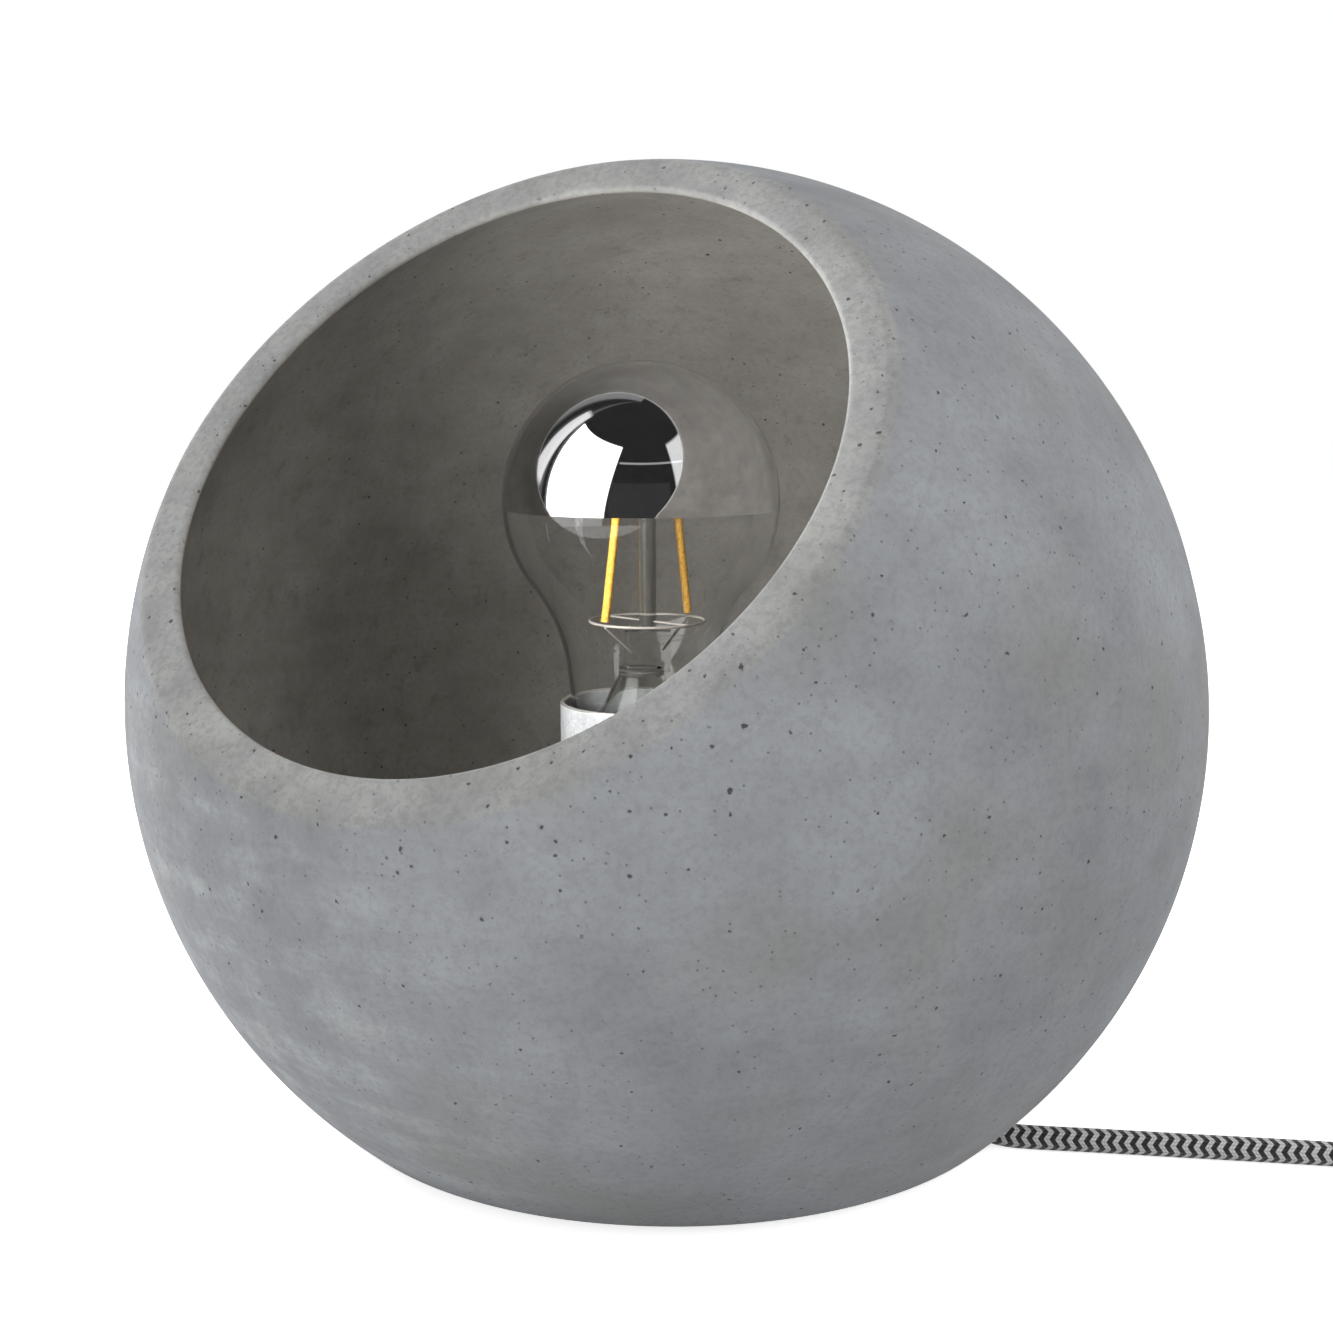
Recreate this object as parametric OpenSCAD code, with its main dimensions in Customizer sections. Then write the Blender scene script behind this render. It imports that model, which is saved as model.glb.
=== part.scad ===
// Table lamp: a cast concrete ball with a slanted round opening, a socket cup inside it
// and a head-mirror bulb. Millimetres, +Z up, the opening faces -Y.
// The origin lies on the table, under the middle of the ball.

/* [Concrete ball] */
// Outer diameter of the ball, square to its opening axis
ball_d = 233; // [215:1:260]
// Extra length of the ball along its opening axis
ball_stretch = 4.8; // [1:0.2:10]
// Wall thickness of the cast shell
wall_t = 6.2; // [5:0.2:9]
// Angle of the opening axis above the horizon
mouth_tilt = 40.2; // [34:0.2:50]
// Distance from the middle of the ball to the plane of the opening, as a share of the diameter
mouth_reach = 0.3871; // [0.36:0.0005:0.42]
// Rounding of the outer edge of the opening
rim_outer_round = 3; // [1.5:0.1:4]
// Rounding of the inner edge of the opening
rim_inner_round = 1; // [0.5:0.1:1.6]

/* [Foot] */
// Drop from the middle of the ball to the flat face of the foot, as a share of the diameter
foot_drop = 0.3777; // [0.35:0.0005:0.4]
// Width of the concrete ring round the base cover, as a share of the diameter
foot_ring_w = 0.103; // [0.086:0.001:0.12]
// Width of the ledge that the base cover is screwed to
ledge_w = 8; // [7:0.25:10]
// Depth of the wiring recess above the foot face
recess_depth = 13; // [12.5:0.25:16]
// Thickness of the concrete slab over the wiring recess
slab_t = 9; // [8:0.25:12]
// Thickness of the felt ring under the foot
felt_t = 1.5; // [1:0.1:3]
// Distance of the felt ring from the edges that it lies between
felt_inset = 4.5; // [3:0.25:6]
// Thickness of the base cover
cover_t = 2; // [1.8:0.1:3]
// Gap all round the base cover
cover_gap = 0.4; // [0.2:0.1:0.8]
// Number of screws that hold the base cover
cover_screws_n = 3; // [3:1:4]

/* [Small screws and inserts] */
// Diameter of the small screws
screw_d = 2.8; // [2.4:0.1:3]
// Head diameter of the small screws
screw_head_d = 5.4; // [5:0.1:6]
// Height of the screw heads
screw_head_h = 1.5; // [1.2:0.1:1.8]
// Outer diameter of the brass inserts
insert_d = 4.8; // [4.4:0.1:5.4]
// Length of the brass inserts
insert_l = 6; // [5:0.25:7]

/* [Socket] */
// Distance of the bulb axis from the middle of the ball, toward the opening
bulb_shift = 12.8; // [8:0.2:18]
// Outer diameter of the threaded tube
stem_d = 10; // [9:0.1:11]
// Bore of the threaded tube
stem_bore = 7.6; // [7:0.1:8]
// Across flats of the tube nuts
nut_af = 14; // [13:0.5:15]
// Thickness of the tube nuts
nut_t = 3; // [2.5:0.1:4]
// Diameter of the washer under the slab
washer_d = 20; // [18:0.5:26]
// Thickness of the washer under the slab
washer_t = 1.5; // [1:0.1:2]
// Outer diameter of the socket cup
cup_d = 35.6; // [35:0.1:38]
// Height of the socket cup
cup_h = 68.7; // [64:0.1:74]
// Wall thickness of the socket cup
cup_t = 1; // [0.6:0.1:1.1]
// Outer diameter of the lampholder
holder_d = 32.8; // [32.4:0.1:33]
// Wall thickness of the lampholder sleeve
holder_t = 1.4; // [1.2:0.1:1.5]
// Height of the holder dome up to its shoulder
dome_h = 18.5; // [17:0.25:20]
// Height of the thread that joins the holder dome and sleeve
spigot_h = 5; // [4:0.25:6]
// Thickness of the insulating core
core_t = 7; // [6:0.25:8]
// Height of the screw shell of the lampholder
shell_h = 26.5; // [24:0.25:28]
// Height of the spring contact over the insulating core
contact_h = 2.5; // [2:0.1:3]

/* [Bulb] */
// Diameter of the glass globe
globe_d = 60; // [56:0.5:64]
// Length of the whole bulb
bulb_l = 105; // [102:0.5:110]
// Wall thickness of the glass
glass_t = 0.8; // [0.6:0.1:1.2]
// Height of the bulb cap over the tip contact
cap_h = 26.5; // [25:0.25:27.5]
// Crest diameter of the cap thread
thread_d = 26.2; // [25.8:0.1:26.5]
// Depth of the cap thread
thread_depth = 0.8; // [0.5:0.05:1]
// Pitch of the cap thread
thread_pitch = 3.63; // [3:0.01:4]
// Drop of the mirror edge below the middle of the globe
mirror_drop = 1.6; // [-4:0.1:6]
// Length of one filament
filament_l = 38; // [34:0.5:40]
// Diameter of one filament
filament_d = 1.8; // [1.4:0.1:2.2]
// Diameter of the supporting wire ring
ring_d = 25.2; // [22:0.2:26]
// Drop of the wire ring below the middle of the globe, as a share of the neck's length
ring_drop = 0.532; // [0.49:0.002:0.56]
// Turn of the filament frame round the bulb axis
frame_turn = 28.6; // [0:0.2:90]

/* [Cord] */
// Diameter of the textile cord
cord_d = 5; // [4.6:0.1:5.2]
// Diameter of one insulated core
core_d = 2; // [1.6:0.1:2.2]
// Length of the tapered cord bush
bush_l = 26; // [20:0.5:28]
// Slope of the cord in its channel
cord_slope = 12; // [10:0.5:14]
// Outer radius of the cord coil, at its middle line
coil_r = 38.6; // [36:0.1:42]
// Step from one turn of the coil to the next
coil_pitch = 5.45; // [5.4:0.05:6]

/* [Cord switch] */
// Length of the switch housing
switch_l = 58; // [54:0.5:64]
// Width of the switch housing
switch_w = 22; // [20:0.5:26]
// Height of the switch housing
switch_h = 16; // [15:0.5:18]
// Wall thickness of the switch housing
switch_t = 1.6; // [1.2:0.1:2]
// Length of the rocker
rocker_l = 19; // [17:0.5:21]
// Width of the rocker
rocker_w = 9; // [8:0.25:10]
// Swing of the rocker from one side to the other
rocker_swing = 14; // [10:0.5:18]

/* [Plug] */
// Width of the plug body at its pins
plug_w = 35; // [33:0.5:37]
// Thickness of the plug body
plug_t = 13.6; // [13:0.2:15]
// Length of the plug body
plug_l = 34; // [30:0.5:38]
// Length of the plug's strain relief
boot_l = 20; // [18:0.5:24]
// Spacing of the plug pins
pin_spacing = 18.6; // [18:0.1:19.2]
// Diameter of the plug pins
pin_d = 4; // [3.8:0.05:4.2]
// Length of the plug pins outside the body
pin_l = 19; // [18:0.25:20]

/* [Hidden] */

// Facets of large round forms, of small ones and of wires
ball_fn = 240;
round_fn = 96;
small_fn = 48;
wire_fn = 24;
// Overrun of every cut
cut = 2;
// Clearance round screws, inserts and tubes
fit_gap = 0.1;
// Running clearance of the rocker's pivot and of the bulb in its holder
pivot_gap = 0.05;
socket_gap = 0.3;

// Heights of the foot, worked out from the table up
foot_z = felt_t;
recess_z = foot_z + recess_depth;
cavity_z = recess_z + slab_t;
centre_z = foot_z + foot_drop * ball_d;
ball_r = ball_d / 2;
mouth_out = mouth_reach * ball_d;
ring_w = foot_ring_w * ball_d;
inner_r = ball_r - wall_t;
half_stretch = ball_stretch / 2;
// Middle of the ball's lower half, which the foot is cut from
low_y = half_stretch * cos(mouth_tilt);
low_z = centre_z - half_stretch * sin(mouth_tilt);
foot_r = sqrt(ball_r * ball_r - (low_z - foot_z) * (low_z - foot_z));
cover_r = foot_r - ring_w;
recess_r = cover_r - ledge_w;
ledge_r = cover_r - ledge_w / 2;
head_r = screw_head_d / 2;

// Socket stack, from the floor of the cavity up
bulb_y = -bulb_shift;
stem_r = stem_d / 2;
stem_spare = 1.5;
dome_neck_h = 6;
dome_neck_r = 8;
stem_low_z = recess_z - washer_t - nut_t - stem_spare;
nut_z = cavity_z + cup_t;
dome_z = nut_z + nut_t;
stem_top_z = dome_z + dome_neck_h + stem_spare;
holder_r = holder_d / 2;
shoulder_z = dome_z + dome_h;
core_z = shoulder_z + spigot_h;
core_top_z = core_z + core_t;
spigot_r = holder_r - holder_t - fit_gap;
spigot_t = 1.4;
shell_t = 0.4;
shell_r = thread_d / 2 + socket_gap + shell_t;
shell_flange_w = 4.2;
sleeve_lip = 2;
sleeve_top_z = core_top_z + shell_h + 2 * socket_gap + sleeve_lip;
strip_t = 0.4;
strip_w = 6;
rivet_r = 1.2;
live_x = 6;
neutral_x = shell_r - shell_flange_w / 2;
terminal_w = 5;
terminal_h = 5;
terminal_in = 1.3;
strip_end = 1.8;

// Bulb, from its tip up
tip_z = core_top_z + contact_h + socket_gap;
globe_r = globe_d / 2;
globe_z = tip_z + bulb_l - globe_r;
cap_top_z = tip_z + cap_h;
tip_h = 1.4;
tip_r = 5;
insulator_h = 4.6;
skirt_h = 4;
skirt_r = thread_d / 2 + fit_gap;
cap_t = 0.4;
cap_wall_r = thread_d / 2 - thread_depth - cap_t;
thread_turns = floor((cap_h - insulator_h - skirt_h) / thread_pitch);
thread_z = cap_top_z - skirt_h - thread_turns * thread_pitch;
thread_steps = 8;
// The globe runs into a hollow round throat, and that into a slightly tapered neck
throat_share = 0.844;
waist_spread = 2.7;
neck_taper = 6;
neck_len = globe_z - cap_top_z;
waist_r = skirt_r + waist_spread;
throat_low = throat_share * neck_len;
throat_r = (pow(throat_low, 2) - pow(globe_r, 2) + pow(waist_r, 2)) / 2 / (globe_r - waist_r);
throat_x = waist_r + throat_r;
throat_angle = atan2(throat_low, throat_x);
neck_r = skirt_r - cap_t - fit_gap;
neck_tuck = skirt_h - thread_depth - cap_t - 2 * fit_gap;
neck_shoulder = 3;
mirror_t = 0.3;
frame_shift = 1.4;
press_w = 10;
press_t = 4.5;
press_share = 0.1856;
press_h = press_share * neck_len;
press_gap = 2.2;
ring_fall = ring_drop * neck_len;
press_drop = ring_fall + press_gap;
flare_drop = press_drop + press_h;
rod_r = 1.9;
rod_rise = 1.4;
wire_r = 0.3;
ring_r = ring_d / 2;
top_reach = 6.9;
filament_r = filament_d / 2;
filament_seat = 0.5;

// Place where the cord leaves the foot, and its heading there
exit_turn = -1.6;
exit_inset = 1.5;
cord_turn = 21;
exit_rise = 3.7;
cord_r = cord_d / 2;
cord_sides = 10;
core_sides = 6;
coil_sides = 6;
coil_steps = 24;
bush_r = 4.2;
bush_tip_r = 3.2;
channel_r = bush_r + 2 * fit_gap;
exit_x = (foot_r - exit_inset) * cos(exit_turn);
exit_y = low_y + (foot_r - exit_inset) * sin(exit_turn);
inward = [-cos(cord_turn), -sin(cord_turn), 0];
across = [-sin(cord_turn), cos(cord_turn), 0];
exit_point = [exit_x, exit_y, exit_rise];
channel_dir = [cos(cord_slope) * inward[0], cos(cord_slope) * inward[1], sin(cord_slope)];
// Level of the cord in the clamp, and the clamp's place along the cord
clamp_roof = 1.1;
clamp_cord_z = recess_z - cord_r - clamp_roof;
clamp_from = 50;
clamp_l = 10;
clamp_w = 21;
clamp_low = 1.2;
clamp_hole = 7.4;
clamp_block_z = clamp_cord_z - cord_r - clamp_low;
sheath_end = 63;
bend_from = 29;
bend_to = 38;
core_step = 1.3;

// Cord switch and plug places on the table
switch_x = 203;
switch_from_y = -20;
port_z = 7.5;
switch_round = 4;
pivot_z = 13;
pivot_r = 1.5;
pivot_l = 1.6;
ear_t = 1.8;
ear_low_z = pivot_z - 2 * pivot_r;
rocker_gap = 0.8;
rocker_crown = 1.3;
rocker_edge = 1.4;
rocker_belly = 2.2;
switch_column_r = 3.6;
column_x = 20;
column_y = 7;
thread_bite = 5;
terminal_l = 7;
terminal_top = 10;
port_reach = switch_l / 2 - rocker_l / 2 - rocker_gap - terminal_l;
plug_x = 209;
plug_y = 134.5;
plug_z = plug_t / 2;
plug_neck_w = 15;
plug_corner = 4;
boot_r = 5.6;
boot_tip_r = 3.6;
sleeve_l = 10;
pin_root = 9;
pin_neck = 0.5;
pin_core_r = pin_d / 2 - pin_neck;

// Coil: spirals in along the table, climbs a layer at its heart and spirals out on top
coil_x = 209.4;
coil_y = 82;
coil_end_turn = 20;
coil_turns = 7 + coil_end_turn / 360;
coil_half = coil_turns / 2;
coil_climb = 0.5;
function ease(x) = let (c = min(max(x, 0), 1)) c * c * (3 - 2 * c);
function coil_radius(t) = coil_r - coil_pitch * (coil_half - abs(t - coil_half));
function coil_level(t) = cord_r + coil_pitch * ease((t - coil_half) / coil_climb + 0.5);
function coil_point(t) = [
    coil_x + coil_radius(t) * cos(360 * t),
    coil_y + coil_radius(t) * sin(360 * t),
    coil_level(t)
];
function unit(v) = v / norm(v);
coil_hair = 0.001;
coil_start = coil_point(0);
coil_end = coil_point(coil_turns);
coil_in = unit(coil_point(coil_hair) - coil_start);
coil_out = unit(coil_end - coil_point(coil_turns - coil_hair));
coil_rings = round(coil_turns * coil_steps);
coil_line = [for (i = [0:coil_rings]) coil_point(i * coil_turns / coil_rings)];
coil_points = concat([coil_start - cord_d * coil_in], coil_line, [coil_end + cord_d * coil_out]);
// Least clear distance between turns that lie half a turn or more apart
coil_gap = min([
    for (i = [0:coil_rings - coil_steps / 2])
        for (j = [i + coil_steps / 2:coil_rings])
            norm(coil_line[i] - coil_line[j])
]) - cord_d;
echo(coil_least_gap_mm = coil_gap);

// Middle line of the free cord, from the foot to the switch
lead_points = [
    exit_point,
    exit_point - cord_d * channel_dir,
    [87, 3.6, 2.5],
    [99, 8.3, 2.5],
    [109, 12.1, 2.5],
    [119, 15.9, 2.5],
    [131, 20.5, 2.5],
    [143.5, 25.2, 2.5],
    [157, 30, 2.5],
    [170, 33.6, 2.5],
    [182, 34, 2.5],
    [192.5, 29.5, 2.5],
    [199.5, 20.5, 2.5],
    [202.4, 9, 2.6],
    [203, 0, 4.1],
    [203, -8, 6.4],
    [203, -15, 7.5],
    [switch_x, switch_from_y, port_z],
    [switch_x, switch_from_y - port_reach, port_z]
];
// Middle line from the switch to the coil
link_points = [
    [switch_x, switch_from_y - switch_l + port_reach, port_z],
    [switch_x, switch_from_y - switch_l, port_z],
    [203, -83, 7.5],
    [203.4, -91, 5.9],
    [205, -99, 3.6],
    [210, -106.4, 2.5],
    [218, -111, 2.5],
    [227, -112, 2.5],
    [236, -109.4, 2.5],
    [243, -103, 2.5],
    [247, -94, 2.5],
    [248, -84, 2.5],
    [248, -72, 2.5],
    [248, -60, 2.5],
    [248, -48, 2.5],
    [248, -36, 2.5],
    [248, -24, 2.5],
    [248, -12, 2.5],
    [248, 0, 2.5],
    [248, 12, 2.5],
    [248, 24, 2.5],
    [248, 36, 2.5],
    [248, 48, 2.5],
    [248, 60, 2.5],
    [248, 70, 2.5],
    coil_start - 2 * cord_d * coil_in,
    coil_start - cord_d * coil_in
];
// Middle line from the coil to the plug
tail_points = [
    coil_end + cord_d * coil_out,
    coil_end + 2 * cord_d * coil_out,
    [239.4, 111.5, 6.7],
    [235.3, 119.2, 5.6],
    [229.5, 126.2, 5.1],
    [222.5, 131.4, 5.6],
    [215.5, 134, 6.4],
    [plug_x + cord_d, plug_y, plug_z],
    [plug_x, plug_y, plug_z]
];

// Places along the cord inside the foot, as a distance inward from the exit and a height
function inside(u, z) = [exit_x + u * inward[0], exit_y + u * inward[1], z];
bend_z = exit_rise + bend_from * tan(cord_slope);
inner_points = [
    exit_point,
    exit_point + cord_d * channel_dir,
    inside(bend_from / 2, exit_rise + bend_from / 2 * tan(cord_slope)),
    inside(bend_from, bend_z),
    inside((bend_from + bend_to) / 2, (bend_z + 2 * clamp_cord_z) / 3),
    inside(bend_to, clamp_cord_z),
    inside(clamp_from, clamp_cord_z),
    inside(sheath_end, clamp_cord_z)
];
sheath_point = inside(sheath_end, clamp_cord_z);

// One conductor, from the cord's end through the tube to its terminal on the side s
core_drop_share = 0.45;
core_low_z = foot_z + cover_t + 1.6 * core_d / 2;
tube_point = [0, bulb_y, stem_low_z];
core_way = unit([-sheath_point[0], bulb_y - sheath_point[1], 0]);
core_across = [core_way[1], -core_way[0], 0];
function core_points(s, end_x) = let (
    start = sheath_point + s * core_step * across,
    side = s * core_step * core_across,
    low = [0, 0, core_low_z - stem_low_z]
) [
    start,
    start + core_d * inward,
    (1 - core_drop_share) * (start + 2 * core_d * inward) + core_drop_share * (tube_point + low + side),
    tube_point + low - 2 * core_d * core_way + side + [0, 0, core_d / 4],
    tube_point + low / 2 + side,
    tube_point + side + [0, 0, core_d],
    tube_point + side + [0, 0, (stem_top_z - stem_low_z) / 2],
    [0, bulb_y, stem_top_z] + side,
    [s * end_x / 2, bulb_y, (stem_top_z + core_z - terminal_h) / 2] + side / 2,
    [s * end_x, bulb_y, core_z - terminal_h - core_d],
    [s * end_x, bulb_y, core_z - terminal_h]
];

// Tube swept along a list of points, with rings square to the line
function heading(p, i) = unit(p[min(i + 1, len(p) - 1)] - p[max(i - 1, 0)]);
function squared(n, t) = unit(n - (n * t) * t);
function carried(p, n, i) = i == len(p) ? [] :
    let (m = squared(n, heading(p, i))) concat([m], carried(p, m, i + 1));
module tube(p, d, sides) {
    t0 = heading(p, 0);
    start = abs(t0[2]) > 0.9 ? [1, 0, 0] : [0, 0, 1];
    n = carried(p, start, 0);
    last = len(p) - 1;
    points = [
        for (i = [0:last]) let (b = cross(heading(p, i), n[i]))
            for (k = [0:sides - 1])
                p[i] + d / 2 * (cos(360 * (k + 0.5) / sides) * n[i] + sin(360 * (k + 0.5) / sides) * b)
    ];
    walls = [
        for (i = [0:last - 1]) for (k = [0:sides - 1])
            let (a = i * sides + k, c = i * sides + (k + 1) % sides)
                each [[a, a + sides, c + sides], [a, c + sides, c]]
    ];
    caps = [for (k = [1:sides - 2]) each [
        [0, k, k + 1],
        [last * sides, last * sides + k + 1, last * sides + k]
    ]];
    polyhedron(points, concat(walls, caps));
}

module ring(r, hole_r, h) {
    difference() {
        cylinder(r = r, h = h, $fn = round_fn);
        translate([0, 0, -cut]) cylinder(r = hole_r, h = h + 2 * cut, $fn = round_fn);
    }
}

module nut() {
    difference() {
        cylinder(d = nut_af / cos(30), h = nut_t, $fn = 6);
        translate([0, 0, -cut]) cylinder(r = stem_r + pivot_gap, h = nut_t + 2 * cut, $fn = small_fn);
    }
}

// Flat-headed screw with its head down at z = 0
module small_screw(l) {
    rotate_extrude($fn = small_fn) polygon([
        [0, 0], [head_r, 0], [head_r, screw_head_h / 3], [screw_d / 2, screw_head_h], [screw_d / 2, l], [0, l]
    ]);
}

module insert() {
    ring(insert_d / 2 - pivot_gap, screw_d / 2 + pivot_gap, insert_l);
}

module at_bulb(z) {
    translate([0, bulb_y, z]) children();
}

module at_filament_frame(z) {
    at_bulb(z) rotate([0, 0, frame_turn]) translate([frame_shift, 0, 0]) children();
}

module at_cover_screws(z) {
    for (i = [0:cover_screws_n - 1])
        translate([0, low_y, z]) rotate([0, 0, 90 + i * 360 / cover_screws_n])
            translate([ledge_r, 0, 0]) children();
}

module at_clamp(z) {
    translate([exit_x, exit_y, z]) rotate([0, 0, cord_turn + 180])
        translate([clamp_from, 0, 0]) children();
}

module at_clamp_screws(z) {
    for (s = [-1, 1])
        at_clamp(z) translate([clamp_l / 2, s * clamp_hole, 0]) children();
}

// Takes a corner off along a circle of radius r at c, between unit directions a and b
module corner_cut(c, a, b, r) {
    difference() {
        polygon([c, c + cut * r * a, c + cut * r * (a + b) / (1 + a * b), c + cut * r * b]);
        translate(c) circle(r, $fn = round_fn);
    }
}

module ball_section(r) {
    intersection() {
        union() {
            translate([0, half_stretch]) circle(r, $fn = ball_fn);
            translate([0, -half_stretch]) circle(r, $fn = ball_fn);
            translate([0, -half_stretch]) square([r, ball_stretch]);
        }
        translate([0, -2 * r]) square([2 * r, 4 * r]);
    }
}

rim_out = [
    sqrt(pow(ball_r - rim_outer_round, 2) - pow(mouth_out - rim_outer_round - half_stretch, 2)),
    mouth_out - rim_outer_round
];
rim_in = [
    sqrt(pow(inner_r + rim_inner_round, 2) - pow(mouth_out - rim_inner_round - half_stretch, 2)),
    mouth_out - rim_inner_round
];

module at_mouth() {
    translate([0, 0, centre_z]) rotate([90 - mouth_tilt, 0, 0]) children();
}

module outer_ball() {
    at_mouth() rotate_extrude($fn = ball_fn) difference() {
        ball_section(ball_r);
        translate([0, mouth_out]) square([ball_d, ball_d]);
        corner_cut(rim_out, [0, 1], unit(rim_out - [0, half_stretch]), rim_outer_round);
    }
}

module cavity() {
    intersection() {
        at_mouth() rotate_extrude($fn = ball_fn) union() {
            ball_section(inner_r);
            corner_cut(rim_in, [0, 1], -unit(rim_in - [0, half_stretch]), rim_inner_round);
        }
        translate([-ball_d, -ball_d, cavity_z]) cube([2 * ball_d, 2 * ball_d, 2 * ball_d]);
    }
}

module foot_cut() {
    translate([-ball_d, -ball_d, foot_z - 2 * ball_d]) cube(2 * ball_d);
}

// Sloping channel that the cord leaves by, open toward the table
module cord_channel() {
    outside = 3 * cord_d;
    depth = 4 * cord_d;
    translate(exit_point) rotate([0, 0, cord_turn + 180]) rotate([0, -cord_slope, 0])
        translate([-outside, 0, 0]) rotate([90, 0, 90])
            linear_extrude(outside + ring_w + ledge_w + 2 * cord_d) union() {
                circle(channel_r, $fn = small_fn);
                translate([-channel_r, -depth]) square([2 * channel_r, depth]);
            }
}

module concrete_body() {
    color([0.56, 0.57, 0.58]) difference() {
        outer_ball();
        cavity();
        foot_cut();
        translate([0, low_y, foot_z - cut])
            cylinder(r = cover_r, h = cover_t + cut, $fn = round_fn);
        translate([0, low_y, foot_z]) cylinder(r = recess_r, h = recess_depth, $fn = round_fn);
        cord_channel();
        at_bulb(recess_z - cut) cylinder(r = stem_r + 2 * fit_gap, h = slab_t + 2 * cut, $fn = small_fn);
        at_cover_screws(foot_z + cover_t - cut)
            cylinder(d = insert_d, h = insert_l + screw_d / 2 + cut, $fn = small_fn);
        at_clamp_screws(recess_z - cut)
            cylinder(d = insert_d, h = insert_l + screw_d / 2 + cut, $fn = small_fn);
    }
}

module felt_ring() {
    color([0.12, 0.12, 0.13]) difference() {
        translate([0, low_y, 0]) ring(foot_r - felt_inset, cover_r + felt_inset, felt_t);
        translate([exit_x, exit_y, -cut]) rotate([0, 0, cord_turn + 180])
            translate([-ring_w, -channel_r - cord_r, 0])
                cube([3 * ring_w, 2 * channel_r + cord_d, felt_t + 2 * cut]);
    }
}

module base_cover() {
    color([0.2, 0.2, 0.21]) difference() {
        translate([0, low_y, foot_z]) cylinder(r = cover_r - cover_gap, h = cover_t, $fn = round_fn);
        at_cover_screws(foot_z - cut)
            cylinder(d = screw_d + 2 * fit_gap, h = cover_t + 2 * cut, $fn = small_fn);
        at_cover_screws(foot_z) rotate_extrude($fn = small_fn) polygon([
            [0, -cut],
            [head_r + fit_gap, -cut],
            [head_r + fit_gap, screw_head_h / 3 + fit_gap],
            [screw_d / 2 + fit_gap, screw_head_h + fit_gap],
            [0, screw_head_h + fit_gap]
        ]);
    }
}

module cover_inserts() {
    color([0.78, 0.62, 0.3]) at_cover_screws(foot_z + cover_t) insert();
}

module cover_screws() {
    color([0.7, 0.7, 0.7]) at_cover_screws(foot_z) small_screw(cover_t + insert_l);
}

module cord_bush() {
    color([0.1, 0.1, 0.1]) translate(exit_point) rotate([0, 0, cord_turn + 180])
        rotate([0, 90 - cord_slope, 0]) difference() {
            cylinder(r1 = bush_tip_r, r2 = bush_r, h = bush_l, $fn = small_fn);
            translate([0, 0, -cut])
                cylinder(r = cord_r + fit_gap, h = bush_l + 2 * cut, $fn = small_fn);
        }
}

module cord_clamp() {
    color([0.15, 0.15, 0.15]) difference() {
        at_clamp(clamp_block_z) translate([0, -clamp_w / 2, 0])
            cube([clamp_l, clamp_w, recess_z - clamp_block_z]);
        at_clamp(clamp_cord_z) translate([-cut, 0, 0]) rotate([0, 90, 0])
            cylinder(r = cord_r + fit_gap, h = clamp_l + 2 * cut, $fn = small_fn);
        at_clamp_screws(clamp_block_z - cut)
            cylinder(d = screw_d + 2 * fit_gap, h = recess_depth + 2 * cut, $fn = small_fn);
    }
}

module clamp_inserts() {
    color([0.78, 0.62, 0.3]) at_clamp_screws(recess_z) insert();
}

module clamp_screws() {
    color([0.7, 0.7, 0.7]) at_clamp_screws(clamp_block_z - screw_head_h)
        rotate_extrude($fn = small_fn) polygon([
            [0, 0],
            [head_r, 0],
            [head_r, screw_head_h],
            [screw_d / 2, screw_head_h],
            [screw_d / 2, recess_z - clamp_block_z + screw_head_h + insert_l],
            [0, recess_z - clamp_block_z + screw_head_h + insert_l]
        ]);
}

module inner_cord() {
    color([0.35, 0.35, 0.36]) tube(inner_points, cord_d, cord_sides);
}

module stem_tube() {
    color([0.72, 0.72, 0.7]) at_bulb(stem_low_z)
        ring(stem_r, stem_bore / 2, stem_top_z - stem_low_z);
}

module stem_washer() {
    color([0.75, 0.75, 0.74]) at_bulb(recess_z - washer_t)
        ring(washer_d / 2, stem_r + fit_gap, washer_t);
}

module lower_nut() {
    color([0.75, 0.75, 0.74]) at_bulb(recess_z - washer_t - nut_t) nut();
}

module upper_nut() {
    color([0.75, 0.75, 0.74]) at_bulb(nut_z) nut();
}

module socket_cup() {
    color([0.68, 0.69, 0.7]) at_bulb(cavity_z) difference() {
        cylinder(d = cup_d, h = cup_h, $fn = round_fn);
        translate([0, 0, cup_t]) cylinder(d = cup_d - 2 * cup_t, h = cup_h, $fn = round_fn);
        translate([0, 0, -cut]) cylinder(r = stem_r + fit_gap, h = cup_t + 2 * cut, $fn = small_fn);
    }
}

module holder_dome() {
    shoulder = dome_h - dome_neck_h;
    color([0.1, 0.1, 0.1]) at_bulb(dome_z) rotate_extrude($fn = round_fn) polygon([
        [stem_r + pivot_gap, 0],
        [dome_neck_r, 0],
        [dome_neck_r, dome_neck_h - holder_t],
        [holder_r, dome_h - shoulder / 2],
        [holder_r, dome_h],
        [spigot_r, dome_h],
        [spigot_r, dome_h + spigot_h],
        [spigot_r - spigot_t, dome_h + spigot_h],
        [spigot_r - spigot_t, dome_h - shoulder / 3],
        [stem_r + spigot_t, dome_neck_h],
        [stem_r + pivot_gap, dome_neck_h]
    ]);
}

module holder_sleeve() {
    sleeve_h = sleeve_top_z - shoulder_z;
    color([0.1, 0.1, 0.1]) at_bulb(shoulder_z) rotate_extrude($fn = round_fn) polygon([
        [holder_r - holder_t, 0],
        [holder_r, 0],
        [holder_r, sleeve_h],
        [shell_r + fit_gap, sleeve_h],
        [shell_r + fit_gap, sleeve_h - sleeve_lip],
        [holder_r - holder_t, sleeve_h - sleeve_lip]
    ]);
}

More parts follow.
